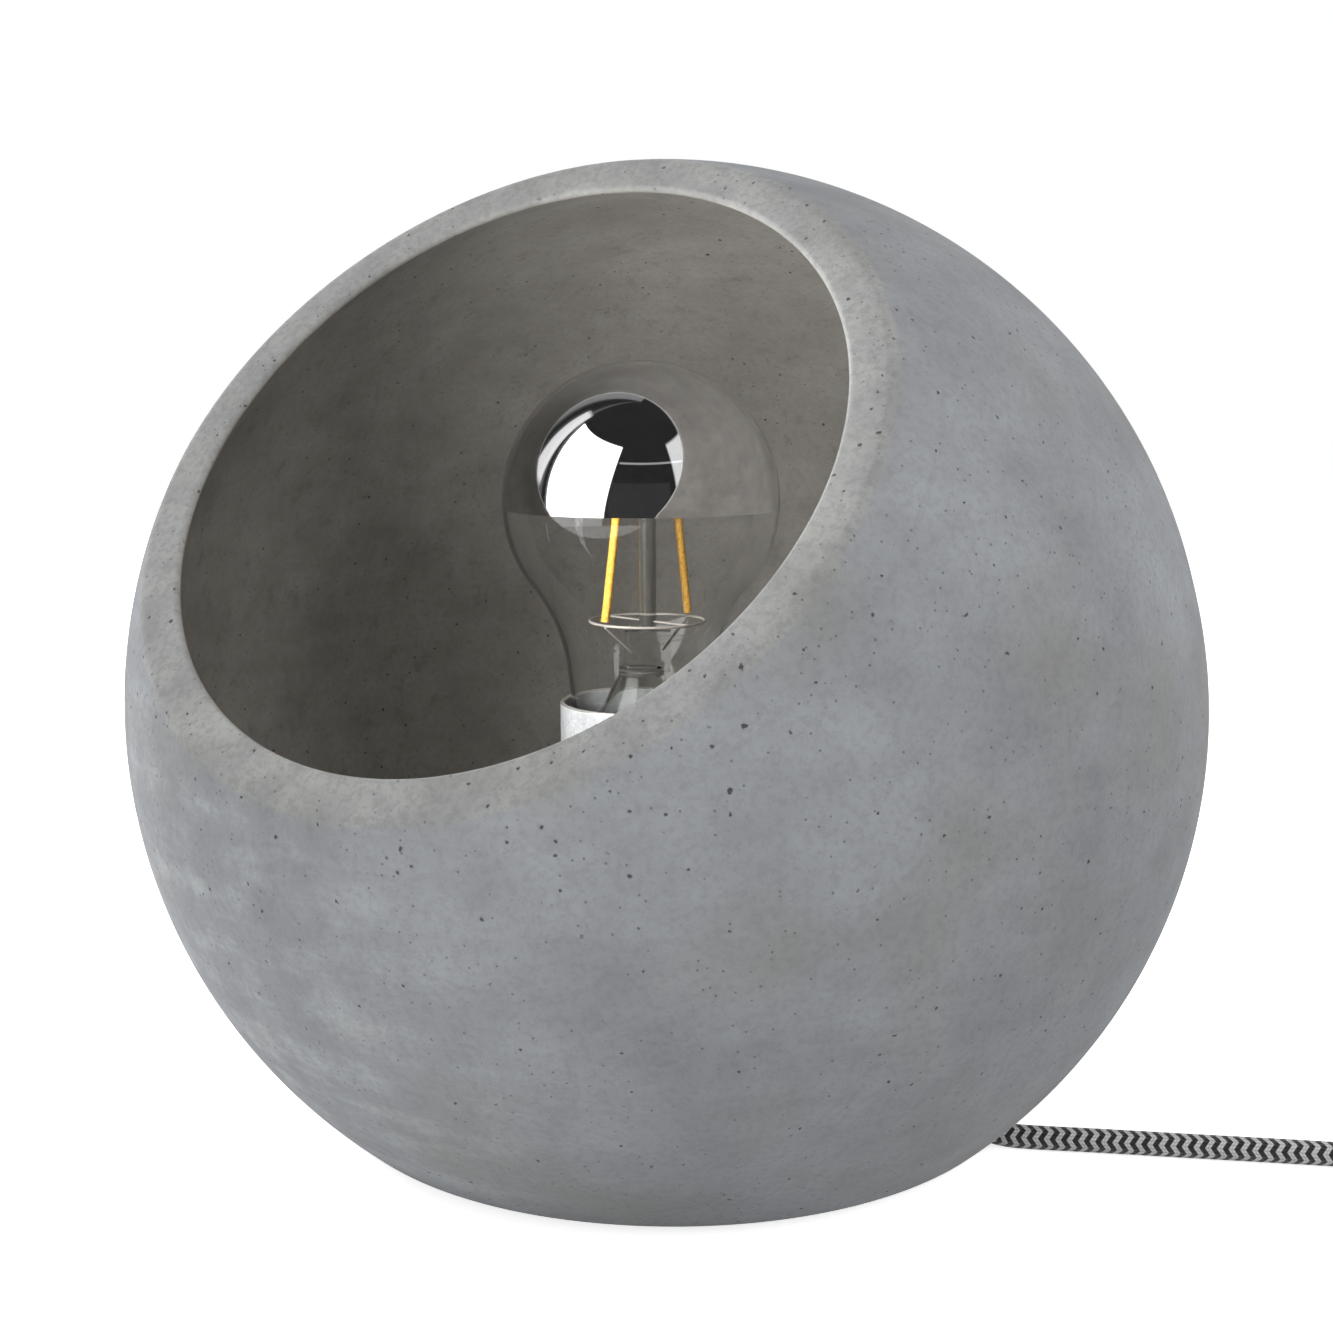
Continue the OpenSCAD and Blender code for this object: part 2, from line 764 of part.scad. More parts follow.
module holder_core() {
    color([0.9, 0.89, 0.86]) at_bulb(core_z) difference() {
        cylinder(r = spigot_r, h = core_t, $fn = round_fn);
        for (x = [live_x, -neutral_x])
            translate([x, 0, -cut])
                cylinder(r = rivet_r + pivot_gap, h = core_t + 2 * cut, $fn = wire_fn);
    }
}

module screw_shell() {
    color([0.83, 0.7, 0.4]) at_bulb(core_top_z) difference() {
        rotate_extrude($fn = round_fn) polygon([
            [shell_r - shell_flange_w, 0],
            [shell_r, 0],
            [shell_r, shell_h],
            [shell_r - shell_t, shell_h],
            [shell_r - shell_t, shell_t],
            [shell_r - shell_flange_w, shell_t]
        ]);
        translate([-neutral_x, 0, -cut]) cylinder(r = rivet_r + pivot_gap, h = 2 * cut, $fn = wire_fn);
    }
}

module spring_contact() {
    color([0.83, 0.7, 0.4]) at_bulb(core_top_z) {
        difference() {
            translate([-live_x / 2, -strip_w / 2, 0])
                cube([live_x * 3 / 2 + strip_end, strip_w, strip_t]);
            translate([live_x, 0, -cut]) cylinder(r = rivet_r + pivot_gap, h = 2 * cut, $fn = wire_fn);
        }
        translate([0, strip_w / 2, 0]) rotate([90, 0, 0]) linear_extrude(strip_w) polygon([
            [-live_x / 2, 0],
            [-live_x / 2, strip_t],
            [-live_x / 4, contact_h],
            [live_x / 4, contact_h],
            [live_x / 4, contact_h - strip_t],
            [-live_x / 5, contact_h - strip_t],
            [-live_x / 2 + strip_t, 0]
        ]);
    }
}

// One terminal block under the core, with its rivet and clamping screw
module terminal(x, rivet_top) {
    at_bulb(core_z) translate([x, 0, 0]) {
        translate([-sign(x) * terminal_in - terminal_w / 2, -terminal_w / 2, -terminal_h])
            cube([terminal_w, terminal_w, terminal_h]);
        cylinder(r = rivet_r, h = core_t + rivet_top, $fn = wire_fn);
        translate([0, -terminal_w / 2, -terminal_h / 2]) rotate([90, 0, 0])
            cylinder(r = rivet_r, h = screw_head_h, $fn = wire_fn);
    }
}

module holder_terminals() {
    color([0.8, 0.66, 0.36]) {
        terminal(live_x, strip_t);
        terminal(-neutral_x, shell_t);
    }
}

module live_core() {
    color([0.4, 0.22, 0.12]) tube(core_points(1, live_x), core_d, core_sides);
}

module neutral_core() {
    color([0.15, 0.35, 0.75]) tube(core_points(-1, neutral_x), core_d, core_sides);
}

// Outline of the glass from its crown to its neck, drawn in by the distance o
globe_steps = 32;
throat_steps = 10;
function glass_line(o) = concat(
    [for (i = [0:globe_steps]) let (a = 90 - (90 + throat_angle) * i / globe_steps)
        (globe_r - o) * [cos(a), sin(a)]],
    [for (i = [1:throat_steps]) let (
            a = throat_angle + (neck_taper - throat_angle) * i / throat_steps
        ) [throat_x, -throat_low] + (throat_r + o) * [-cos(a), sin(a)]],
    [
        [throat_x - (throat_r + o) * cos(neck_taper)
            - (neck_len - neck_shoulder - throat_low + throat_r * sin(neck_taper)) * tan(neck_taper),
            -neck_len + neck_shoulder],
        [neck_r - o + cap_t, -neck_len + fit_gap],
        [neck_r - o, -neck_len],
        [neck_r - o, -neck_len - neck_tuck]
    ]
);
function flipped(p) = [for (i = [len(p) - 1:-1:0]) p[i]];

module bulb_glass() {
    color([0.8, 0.85, 0.85, 0.35]) at_bulb(globe_z) rotate_extrude($fn = round_fn)
        polygon(concat(glass_line(0), flipped(glass_line(glass_t))));
}

module bulb_mirror() {
    mirror_r = globe_r - glass_t - fit_gap;
    color([0.9, 0.9, 0.92]) at_bulb(globe_z) difference() {
        sphere(r = mirror_r, $fn = round_fn);
        sphere(r = mirror_r - mirror_t, $fn = round_fn);
        translate([-globe_d, -globe_d, -mirror_drop - 2 * globe_d])
            cube([2 * globe_d, 2 * globe_d, 2 * globe_d]);
    }
}

module bulb_stem() {
    flare_r = neck_r - glass_t - fit_gap;
    flare_low = -neck_len - neck_tuck;
    color([0.8, 0.85, 0.85, 0.35]) {
        at_bulb(globe_z) rotate_extrude($fn = round_fn) polygon([
            [flare_r - glass_t, flare_low],
            [flare_r, flare_low],
            [press_w / 2, -flare_drop - glass_t],
            [press_w / 2, -flare_drop + glass_t],
            [0, -flare_drop + glass_t],
            [0, -flare_drop - glass_t],
            [press_w / 2 - glass_t, -flare_drop - glass_t]
        ]);
        at_filament_frame(globe_z - flare_drop) {
            translate([-press_w / 2, -press_t / 2, 0]) cube([press_w, press_t, press_h]);
            cylinder(r = rod_r, h = flare_drop + rod_top, $fn = wire_fn);
        }
    }
}

// One filament on the side s, leaning in toward the rod
filament_low = [ring_r * sqrt(0.5), ring_r * sqrt(0.5), wire_r + filament_seat - ring_fall];
filament_high = [
    top_reach * sqrt(0.5), top_reach * sqrt(0.5),
    filament_low[2] + sqrt(pow(filament_l, 2) - pow(ring_r - top_reach, 2))
];
rod_top = filament_high[2] + rod_rise;
function sided(p, s) = [s * p[0], s * p[1], p[2]];
module rod_between(a, b, r) {
    v = b - a;
    translate(a) rotate([0, acos(v[2] / norm(v)), atan2(v[1], v[0])])
        cylinder(r = r, h = norm(v), $fn = wire_fn);
}

module filament(s) {
    at_filament_frame(globe_z)
        rod_between(sided(filament_low, s), sided(filament_high, s), filament_r);
}

module filament_front() {
    color([0.95, 0.72, 0.3]) filament(-1);
}

module filament_back() {
    color([0.95, 0.72, 0.3]) filament(1);
}

module wire_ring() {
    spoke = rod_r + fit_gap;
    color([0.6, 0.6, 0.58]) at_filament_frame(globe_z - ring_fall) {
        rotate_extrude($fn = round_fn) translate([ring_r, 0]) circle(r = wire_r, $fn = wire_fn);
        for (a = [135, 315]) rotate([0, 0, a]) translate([spoke, 0, 0]) rotate([0, 90, 0])
            cylinder(r = wire_r * 0.8, h = ring_r - spoke, $fn = wire_fn);
    }
}

// Wires from the press to the filament feet, and from the rod to the filament heads
module lead_wires() {
    top = [0, 0, rod_top + 4 * wire_r];
    color([0.7, 0.45, 0.3]) at_filament_frame(globe_z) {
        for (s = [-1, 1]) {
            rod_between(sided(filament_high, s) + [0, 0, wire_r], top, wire_r);
            rod_between(
                [s * press_w / 3, s * (press_t / 2 + 2 * wire_r), -press_drop - press_h / 2],
                sided(filament_low, s) - [0, 0, filament_seat + 2 * wire_r + fit_gap], wire_r
            );
        }
        translate([0, 0, rod_top + fit_gap]) cylinder(r = rod_r, h = 3 * wire_r, $fn = wire_fn);
    }
}

driver_l = 16;
driver_w = 15;
driver_t = 1.2;
module bulb_driver() {
    driver_z = tip_z + insulator_h + fit_gap;
    color([0.2, 0.45, 0.25]) at_bulb(driver_z) {
        translate([-driver_w / 2, -driver_t / 2, 0]) cube([driver_w, driver_t, driver_l]);
        translate([driver_w / 6, driver_t / 2, driver_l / 2]) rotate([-90, 0, 0])
            cylinder(r = driver_w / 6, h = driver_w / 3, $fn = wire_fn);
        translate([-driver_w / 3, -driver_w / 4, driver_l / 4])
            cube([driver_w / 3, driver_w / 4, driver_l / 3]);
    }
}

module bulb_cap() {
    crest_r = thread_d / 2 - thread_depth / 2;
    color([0.78, 0.78, 0.76]) at_bulb(0) rotate_extrude($fn = round_fn) polygon(concat(
        [
            [cap_wall_r, tip_z + insulator_h],
            [cap_wall_r + cap_t, tip_z + insulator_h]
        ],
        [for (i = [0:thread_turns * thread_steps]) let (a = 360 * i / thread_steps)
            [crest_r - thread_depth / 2 * cos(a), thread_z + thread_pitch * i / thread_steps]],
        [
            [skirt_r, cap_top_z - skirt_h + thread_depth],
            [skirt_r, cap_top_z],
            [skirt_r - cap_t, cap_top_z],
            [skirt_r - cap_t, cap_top_z - skirt_h + thread_depth + cap_t],
            [cap_wall_r, cap_top_z - skirt_h - thread_depth]
        ]
    ));
}

module bulb_insulator() {
    color([0.08, 0.08, 0.1]) at_bulb(tip_z) rotate_extrude($fn = round_fn) polygon([
        [0, tip_h],
        [tip_r, tip_h],
        [cap_wall_r + cap_t, insulator_h - cap_t],
        [cap_wall_r + cap_t, insulator_h - pivot_gap],
        [0, insulator_h - pivot_gap]
    ]);
}

module bulb_contact() {
    color([0.75, 0.74, 0.7]) at_bulb(tip_z) rotate_extrude($fn = small_fn) polygon([
        [0, 0], [tip_r / 2, 0], [tip_r, tip_h * 2 / 3], [tip_r, tip_h], [0, tip_h]
    ]);
}

module cord_lead() {
    color([0.5, 0.5, 0.5]) tube(lead_points, cord_d, cord_sides);
}

module cord_link() {
    color([0.5, 0.5, 0.5]) tube(link_points, cord_d, cord_sides);
}

module cord_coil() {
    color([0.5, 0.5, 0.5]) tube(coil_points, cord_d, coil_sides);
}

module cord_tail() {
    color([0.5, 0.5, 0.5]) tube(tail_points, cord_d, cord_sides);
}

// Switch, drawn with its length along X and its middle over the origin
module at_switch(z) {
    translate([switch_x, switch_from_y - switch_l / 2, z]) rotate([0, 0, -90]) children();
}

module rounded_slab(l, w, h, r) {
    linear_extrude(h) union() {
        square([l - 2 * r, w], center = true);
        square([l, w - 2 * r], center = true);
        for (x = [-1, 1]) for (y = [-1, 1])
            translate([x * (l / 2 - r), y * (w / 2 - r)]) circle(r, $fn = small_fn);
    }
}

module switch_columns(h) {
    for (s = [-1, 1]) translate([s * column_x, s * column_y, 0])
        cylinder(r = switch_column_r, h = h, $fn = wire_fn);
}

module switch_holes(z, h, r) {
    for (s = [-1, 1]) translate([s * column_x, s * column_y, z])
        cylinder(r = r, h = h, $fn = wire_fn);
}

module switch_ports() {
    for (s = [-1, 1]) translate([s * (switch_l / 2 - switch_t - cut), 0, port_z])
        rotate([0, s * 90, 0]) cylinder(r = cord_r + fit_gap, h = switch_t + 2 * cut, $fn = small_fn);
}

module switch_base() {
    color([0.07, 0.07, 0.07]) at_switch(0) difference() {
        union() {
            difference() {
                rounded_slab(switch_l, switch_w, port_z, switch_round);
                translate([0, 0, switch_t]) rounded_slab(
                    switch_l - 2 * switch_t, switch_w - 2 * switch_t, port_z, switch_round - switch_t
                );
            }
            switch_columns(port_z);
        }
        switch_ports();
        switch_holes(-cut, port_z + 2 * cut, screw_d / 2 + fit_gap);
        switch_holes(-cut, cut + screw_head_h + fit_gap, head_r + fit_gap);
    }
}

module switch_cover() {
    roof = switch_h - port_z;
    ear_y = rocker_w / 2 + rocker_gap / 2;
    color([0.07, 0.07, 0.07]) at_switch(port_z) difference() {
        union() {
            difference() {
                rounded_slab(switch_l, switch_w, roof, switch_round);
                translate([0, 0, -switch_t]) rounded_slab(
                    switch_l - 2 * switch_t, switch_w - 2 * switch_t, roof, switch_round - switch_t
                );
            }
            switch_columns(roof - switch_t / 2);
            for (s = [-1, 1])
                translate([-2 * pivot_r, s * (ear_y + ear_t / 2) - ear_t / 2, ear_low_z - port_z])
                    cube([4 * pivot_r, ear_t, switch_h - switch_t / 2 - ear_low_z]);
        }
        translate([-rocker_l / 2 - rocker_gap, -ear_y, -cut])
            cube([rocker_l + 2 * rocker_gap, 2 * ear_y, roof + 2 * cut]);
        translate([0, 0, -port_z]) switch_ports();
        switch_holes(-cut, cut + thread_bite, screw_d / 2 + pivot_gap);
        translate([0, switch_w / 2 - switch_t, pivot_z - port_z]) rotate([90, 0, 0])
            cylinder(r = pivot_r + pivot_gap, h = switch_w - 2 * switch_t, $fn = small_fn);
    }
}

module switch_rocker() {
    color([0.1, 0.1, 0.1]) at_switch(pivot_z) rotate([0, rocker_swing / 2, 0]) {
        translate([0, rocker_w / 2, 0]) rotate([90, 0, 0]) linear_extrude(rocker_w) polygon([
            [-rocker_l / 2, 0],
            [-rocker_l / 2, switch_h - pivot_z + rocker_edge],
            [0, switch_h - pivot_z + rocker_crown - rocker_edge],
            [rocker_l / 2, switch_h - pivot_z + rocker_edge],
            [rocker_l / 2, 0],
            [0, -rocker_belly]
        ]);
        translate([0, rocker_w / 2 + pivot_l, 0]) rotate([90, 0, 0])
            cylinder(r = pivot_r, h = rocker_w + 2 * pivot_l, $fn = small_fn);
    }
}

module switch_terminals() {
    color([0.8, 0.66, 0.36]) at_switch(switch_t) {
        for (s = [-1, 1])
            translate([s * (switch_l / 2 - port_reach - terminal_l / 2) - terminal_l / 2, -column_y / 2, 0])
                cube([terminal_l, column_y, terminal_top - switch_t]);
    }
}

module switch_screws() {
    color([0.7, 0.7, 0.7]) at_switch(0) for (s = [-1, 1])
        translate([s * column_x, s * column_y, 0]) translate([0, 0, fit_gap])
            rotate_extrude($fn = small_fn) polygon([
                [0, 0],
                [head_r, 0],
                [head_r, screw_head_h],
                [screw_d / 2, screw_head_h],
                [screw_d / 2, port_z + thread_bite - 2 * fit_gap],
                [0, port_z + thread_bite - 2 * fit_gap]
            ]);
}

// Plug, drawn from its boot's tip along X
module at_plug() {
    translate([plug_x, plug_y, plug_z]) rotate([0, 0, 180]) children();
}

module plug_boot() {
    color([0.07, 0.07, 0.07]) at_plug() rotate([0, 90, 0])
        cylinder(r1 = boot_tip_r, r2 = boot_r, h = boot_l, $fn = small_fn);
}

module plug_body() {
    color([0.07, 0.07, 0.07]) difference() {
        at_plug() translate([boot_l, 0, -plug_t / 2]) linear_extrude(plug_t) union() {
            polygon([
                [0, -plug_neck_w / 2],
                [plug_l - plug_corner, -plug_w / 2],
                [plug_l, -plug_w / 2 + plug_corner],
                [plug_l, plug_w / 2 - plug_corner],
                [plug_l - plug_corner, plug_w / 2],
                [0, plug_neck_w / 2]
            ]);
            for (s = [-1, 1]) translate([plug_l - plug_corner, s * (plug_w / 2 - plug_corner)])
                circle(plug_corner, $fn = small_fn);
        }
        for (s = [-1, 1])
            at_plug() translate([boot_l + plug_l - pin_root, s * pin_spacing / 2, 0]) rotate([0, 90, 0])
                cylinder(r = pin_core_r + pivot_gap, h = pin_root + cut, $fn = wire_fn);
    }
}

module at_pins() {
    for (s = [-1, 1])
        at_plug() translate([boot_l + plug_l, s * pin_spacing / 2, 0]) rotate([0, 90, 0]) children();
}

module plug_pins() {
    color([0.85, 0.8, 0.65]) at_pins() {
        rotate_extrude($fn = wire_fn) polygon([
            [0, -pin_root],
            [pin_core_r, -pin_root],
            [pin_core_r, sleeve_l + pivot_gap],
            [pin_d / 2, sleeve_l + pivot_gap],
            [pin_d / 2, pin_l - pin_d / 4],
            [pin_d / 4, pin_l],
            [0, pin_l]
        ]);
    }
}

module pin_sleeves() {
    color([0.08, 0.08, 0.08]) at_pins()
        ring(pin_d / 2 - fit_gap, pin_core_r + pivot_gap, sleeve_l);
}

concrete_body();
felt_ring();
base_cover();
cover_inserts();
cover_screws();
cord_bush();
cord_clamp();
clamp_inserts();
clamp_screws();
inner_cord();
stem_tube();
stem_washer();
lower_nut();
upper_nut();
socket_cup();
holder_dome();
holder_sleeve();
holder_core();
screw_shell();
spring_contact();
holder_terminals();
live_core();
neutral_core();
bulb_glass();
bulb_mirror();
bulb_stem();
filament_front();
filament_back();
wire_ring();
lead_wires();
bulb_driver();
bulb_cap();
bulb_insulator();
bulb_contact();
cord_lead();
switch_base();
switch_cover();
switch_rocker();
switch_terminals();
switch_screws();
cord_link();
cord_coil();
cord_tail();
plug_boot();
plug_body();
plug_pins();
pin_sleeves();
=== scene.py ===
from math import atan2, ceil, cos, degrees, pi, radians, sin, sqrt, tan

import bmesh
import bpy
from mathutils import Matrix, Vector


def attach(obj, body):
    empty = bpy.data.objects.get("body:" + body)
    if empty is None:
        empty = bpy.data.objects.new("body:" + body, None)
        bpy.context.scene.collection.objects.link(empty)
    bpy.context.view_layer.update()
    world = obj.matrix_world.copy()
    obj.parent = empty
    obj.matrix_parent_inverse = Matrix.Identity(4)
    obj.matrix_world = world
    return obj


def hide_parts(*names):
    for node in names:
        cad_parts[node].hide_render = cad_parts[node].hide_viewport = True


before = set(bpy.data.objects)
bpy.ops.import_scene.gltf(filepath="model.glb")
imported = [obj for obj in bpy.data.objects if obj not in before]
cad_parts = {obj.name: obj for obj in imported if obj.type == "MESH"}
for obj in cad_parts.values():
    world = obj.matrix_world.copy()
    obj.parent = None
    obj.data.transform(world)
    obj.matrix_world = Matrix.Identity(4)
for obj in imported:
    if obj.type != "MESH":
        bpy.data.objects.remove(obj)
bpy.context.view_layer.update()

# Camera: stands a little right of the mouth and looks slightly down on the ball, as in the photograph.
# Its place and its lens were worked out from the ball's outline, the rim and the cord.
camera_place, camera_view = (0.18314, -0.33729, 0.15951), Vector((-0.47253, 0.86689, -0.15883))
camera = bpy.data.cameras.new("photo_camera")
camera.lens, camera.sensor_width, camera.clip_start = 46.45, 36, 0.01
camera_stand = bpy.data.objects.new("photo_camera", camera)
camera_stand.location = camera_place
camera_stand.rotation_euler = camera_view.to_track_quat("-Z", "Y").to_euler()
bpy.context.collection.objects.link(camera_stand)
bpy.context.scene.camera = camera_stand

# Textile cord: two insulated wires under a braid of black and pale grey yarn, laid in a herringbone.
# It leaves the foot at the right, runs to the cord switch and then to a coil, which ends in the plug.
mm = 0.001
cord_d = 5.0
cord_r = cord_d / 2
exit_point = (76.57, -0.306, 3.7)
channel_way = (-0.9132, -0.3505, 0.2079)
port_z, port_reach = 7.5, 11.7
plug_tip = (209.0, 134.5, 6.8)
coil_at, coil_r, coil_pitch, coil_turns = (209.4, 82.0), 38.6, 5.45, 7 + 20 / 360


def on_coil(turn):
    """A point of the coil: it spirals in along the table, climbs a layer in half a turn and spirals out on top."""
    half = coil_turns / 2
    reach = coil_r - coil_pitch * (half - abs(turn - half))
    climb = min(max(2 * (turn - half) + 0.5, 0), 1)
    height = cord_r + coil_pitch * climb * climb * (3 - 2 * climb)
    return Vector((coil_at[0] + reach * cos(2 * pi * turn), coil_at[1] + reach * sin(2 * pi * turn), height))


def smooth_route(points, step):
    """Points about a step apart on the smooth curve through a route's points, in metres."""
    way = [Vector(p) * mm for p in points]
    way = [2 * way[0] - way[1]] + way + [2 * way[-1] - way[-2]]
    fine, parts = [way[1]], 16
    for a, b, c, d in zip(way, way[1:], way[2:], way[3:]):
        for part in range(1, parts + 1):
            t = part / parts
            square, cube = 2 * a - 5 * b + 4 * c - d, 3 * b - a - 3 * c + d
            fine.append((2 * b + (c - a) * t + square * t**2 + cube * t**3) / 2)
    lengths = [0.0]
    for a, b in zip(fine, fine[1:]):
        lengths.append(lengths[-1] + (b - a).length)
    count = ceil(lengths[-1] / step)
    even, spot = [], 0
    for i in range(count + 1):
        goal = lengths[-1] * i / count
        while spot < len(fine) - 2 and lengths[spot + 1] < goal:
            spot += 1
        part = (goal - lengths[spot]) / (lengths[spot + 1] - lengths[spot])
        even.append(fine[spot].lerp(fine[spot + 1], min(part, 1)))
    return even


def tube_along(shape, way, radius, sides):
    """A closed tube along a way. Its UV map holds metres along it and turns round it."""
    course = [(b - a).normalized() for a, b in zip(way, way[1:])]
    course = [course[0]] + [(a + b).normalized() for a, b in zip(course, course[1:])] + [course[-1]]
    side = course[0].cross((0, 0, 1)).normalized()
    facing = Matrix((side, course[0].cross(side), course[0])).transposed().to_4x4()
    ring = bmesh.ops.create_circle(
        shape, segments=sides, radius=radius * mm, matrix=Matrix.Translation(way[0]) @ facing)["verts"]
    mark = {v: (0.0, k / sides) for k, v in enumerate(ring)}
    edges = [e for e in shape.edges if e.verts[0] in mark and e.verts[1] in mark]
    shape.faces.new(ring)
    run = 0.0
    for i in range(1, len(way)):
        run += (way[i] - way[i - 1]).length
        grown = bmesh.ops.extrude_edge_only(shape, edges=edges)["geom"]
        fresh = [g for g in grown if isinstance(g, bmesh.types.BMVert)]
        edges = [g for g in grown if isinstance(g, bmesh.types.BMEdge) and all(v in fresh for v in g.verts)]
        behind = {v: next(e.other_vert(v) for e in v.link_edges if e.other_vert(v) in mark) for v in fresh}
        mark.update({v: (run, mark[old][1]) for v, old in behind.items()})
        turn = course[i - 1].rotation_difference(course[i]).to_matrix().to_4x4()
        bmesh.ops.transform(
            shape, verts=fresh, matrix=Matrix.Translation(way[i]) @ turn @ Matrix.Translation(-way[i - 1]))
    bmesh.ops.contextual_create(shape, geom=edges)
    braid = shape.loops.layers.uv.verify()
    for face in shape.faces:
        turns = [mark[v][1] for v in face.verts]
        for loop in face.loops:
            along, around = mark[loop.vert]
            wraps = max(turns) - min(turns) > 0.5 and around < 0.5
            loop[braid].uv = (along, around + 1 if wraps else around)


class Link:
    """A socket of a finish. It adds the Math nodes itself when it is calculated with."""

    def __init__(self, tree, socket):
        self.tree, self.socket = tree, socket

    def node(self, kind, settings=None, inputs=None, out=0):
        """An output of a new node, whose settings come first, then its sockets' values or links."""
        made = self.tree.nodes.new("ShaderNode" + kind)
        for name, value in (settings or {}).items():
            setattr(made, name, value)
        for name, value in (inputs or {}).items():
            if isinstance(value, Link):
                self.tree.links.new(value.socket, made.inputs[name])
            else:
                made.inputs[name].default_value = value
        return Link(self.tree, made.outputs[out])

    def output(self, out):
        """Another output of the node that this socket belongs to."""
        return Link(self.tree, self.socket.node.outputs[out])

    def math(self, operation, *values):
        return self.node("Math", {"operation": operation}, dict(enumerate(values)))

    def vector(self, operation, *values, out=0):
        return self.node("VectorMath", {"operation": operation}, dict(enumerate(values)), out)

    def __add__(self, other):
        return self.math("ADD", self, other)

    def __sub__(self, other):
        return self.math("SUBTRACT", self, other)

    def __rsub__(self, other):
        return self.math("SUBTRACT", other, self)

    def __mul__(self, other):
        return self.math("MULTIPLY", self, other)

    def __truediv__(self, other):
        return self.math("DIVIDE", self, other)

    def __rtruediv__(self, other):
        return self.math("DIVIDE", other, self)

    __radd__, __rmul__ = __add__, __mul__

    def rise(self, low, high):
        """0 below low, 1 above high and smooth between them; the other way round when low is the higher."""
        if low > high:
            return 1 - self.rise(high, low)
        return self.node("MapRange", {"interpolation_type": "SMOOTHSTEP"},
                         {"Value": self, "From Min": low, "From Max": high})

    def noise(self, size, detail, roughness, squeeze=None):
        """Cloudy noise from 0 to 1, with clouds of a size in millimetres, squeezed along the three axes."""
        place = self.node("Mapping", {}, {"Vector": self, "Scale": squeeze}) if squeeze else self
        return place.node("TexNoise", {}, {
            "Vector": place, "Scale": 1 / size / mm, "Detail": detail, "Roughness": roughness})

    def cells(self, size):
        """Distance to the nearest of scattered points, in cells of a size in millimetres."""
        return self.node("TexVoronoi", {}, {"Vector": self, "Scale": 1 / size / mm})

    def lot(self):
        """The number from 0 to 1 that each of the cells has drawn."""
        return self.node("SeparateColor", {}, {0: self.output("Color")})

    def blend(self, first, second):
        """From the first colour, where this is 0, to the second, where it is 1."""
        return self.node("Mix", {"data_type": "RGBA"}, {0: self, 6: first, 7: second}, out=2)

    def bump(self, depth, strength=1.0):
        """A surface normal for this height, whose 1 stands for a depth in millimetres."""
        return self.node("Bump", {}, {"Height": self, "Distance": depth * mm, "Strength": strength})


def rgb(red, green, blue):
    """A screen colour from 0 to 255 as the shader's own linear colour."""
    shares = [c / 255 for c in (red, green, blue)]
    return tuple(((c + 0.055) / 1.055) ** 2.4 if c > 0.0404 else c / 12.92 for c in shares) + (1.0,)


def new_finish(name, coordinates="Object"):
    """A new finish, and the coordinates that its patterns are drawn on."""
    finish = bpy.data.materials.new(name)
    finish.use_nodes = True
    coords = finish.node_tree.nodes.new("ShaderNodeTexCoord")
    return finish, Link(finish.node_tree, coords.outputs[coordinates])


def surface(place, sockets):
    """Sets the finish's shader: what varies over the surface is linked, the rest is typed in."""
    shader = place.tree.nodes["Principled BSDF"]
    for name, value in sockets.items():
        if isinstance(value, Link):
            place.tree.links.new(value.socket, shader.inputs[name])
        else:
            shader.inputs[name].default_value = value


def piece(name, shape, finish, body, nodes=(), crease=35):
    """Closes and smooths a modelled shape, gives it its finish and hangs it on its body."""
    bmesh.ops.remove_doubles(shape, verts=shape.verts, dist=1e-6)
    bmesh.ops.recalc_face_normals(shape, faces=shape.faces)
    mesh = bpy.data.meshes.new(name)
    shape.to_mesh(mesh)
    shape.free()
    mesh.shade_smooth()
    mesh.set_sharp_from_angle(angle=radians(crease))
    mesh.materials.append(finish)
    made = bpy.data.objects.new(name, mesh)
    bpy.context.collection.objects.link(made)
    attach(made, body)
    if nodes:
        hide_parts(*nodes)
    return made


zigzags, yarns_around, band_long, yarn_long, zigzag_long = 5, 20, 2.36, 0.59, 1.0856
braid_finish, braid_place = new_finish("herringbone_braid", "UV")
braid_along = braid_place.node("SeparateXYZ", {}, {0: braid_place})
braid_around = braid_along.output("Y")
zigzag = braid_place.math("PINGPONG", braid_around * zigzags, 0.5) * 2
braid_band = braid_place.math("FRACT", braid_along / (band_long * mm) + zigzag * (zigzag_long / band_long))
braid_edge = braid_place.math("ABSOLUTE", braid_band - 0.5) * 2
braid_pale = braid_edge.rise(0.44, 0.58)
yarn_count = braid_place.math("PINGPONG", braid_along / (yarn_long * mm) + zigzag * (zigzag_long / yarn_long), 0.5) * 2
strand = braid_place.math("PINGPONG", braid_around * yarns_around, 0.5) * 2
# Each yarn is lighter on its crown and darker where the strands and rows part: painted shade between the yarns, with
# random fuzz on top.
yarn = strand.rise(0.0, 0.7) * yarn_count.rise(0.0, 0.6)
fuzz = braid_place.noise(1 / 3.5, 2, 0.5, (1, 0.02, 1))
yarn_shade_and_fuzz = yarn * 0.55 + 0.45 + (fuzz - 0.5) * 0.5
surface(braid_place, {
    "Base Color": braid_pale.blend(
        yarn_shade_and_fuzz.blend(rgb(8, 8, 10), rgb(30, 30, 34)),
        yarn_shade_and_fuzz.blend(rgb(150, 150, 150), rgb(232, 232, 230))),
    "Roughness": 0.75, "Sheen Weight": 0.25, "Sheen Roughness": 0.5,
    "Normal": (yarn + braid_edge.rise(0.3, 0.5) * 0.4).bump(0.22, 0.8),
})

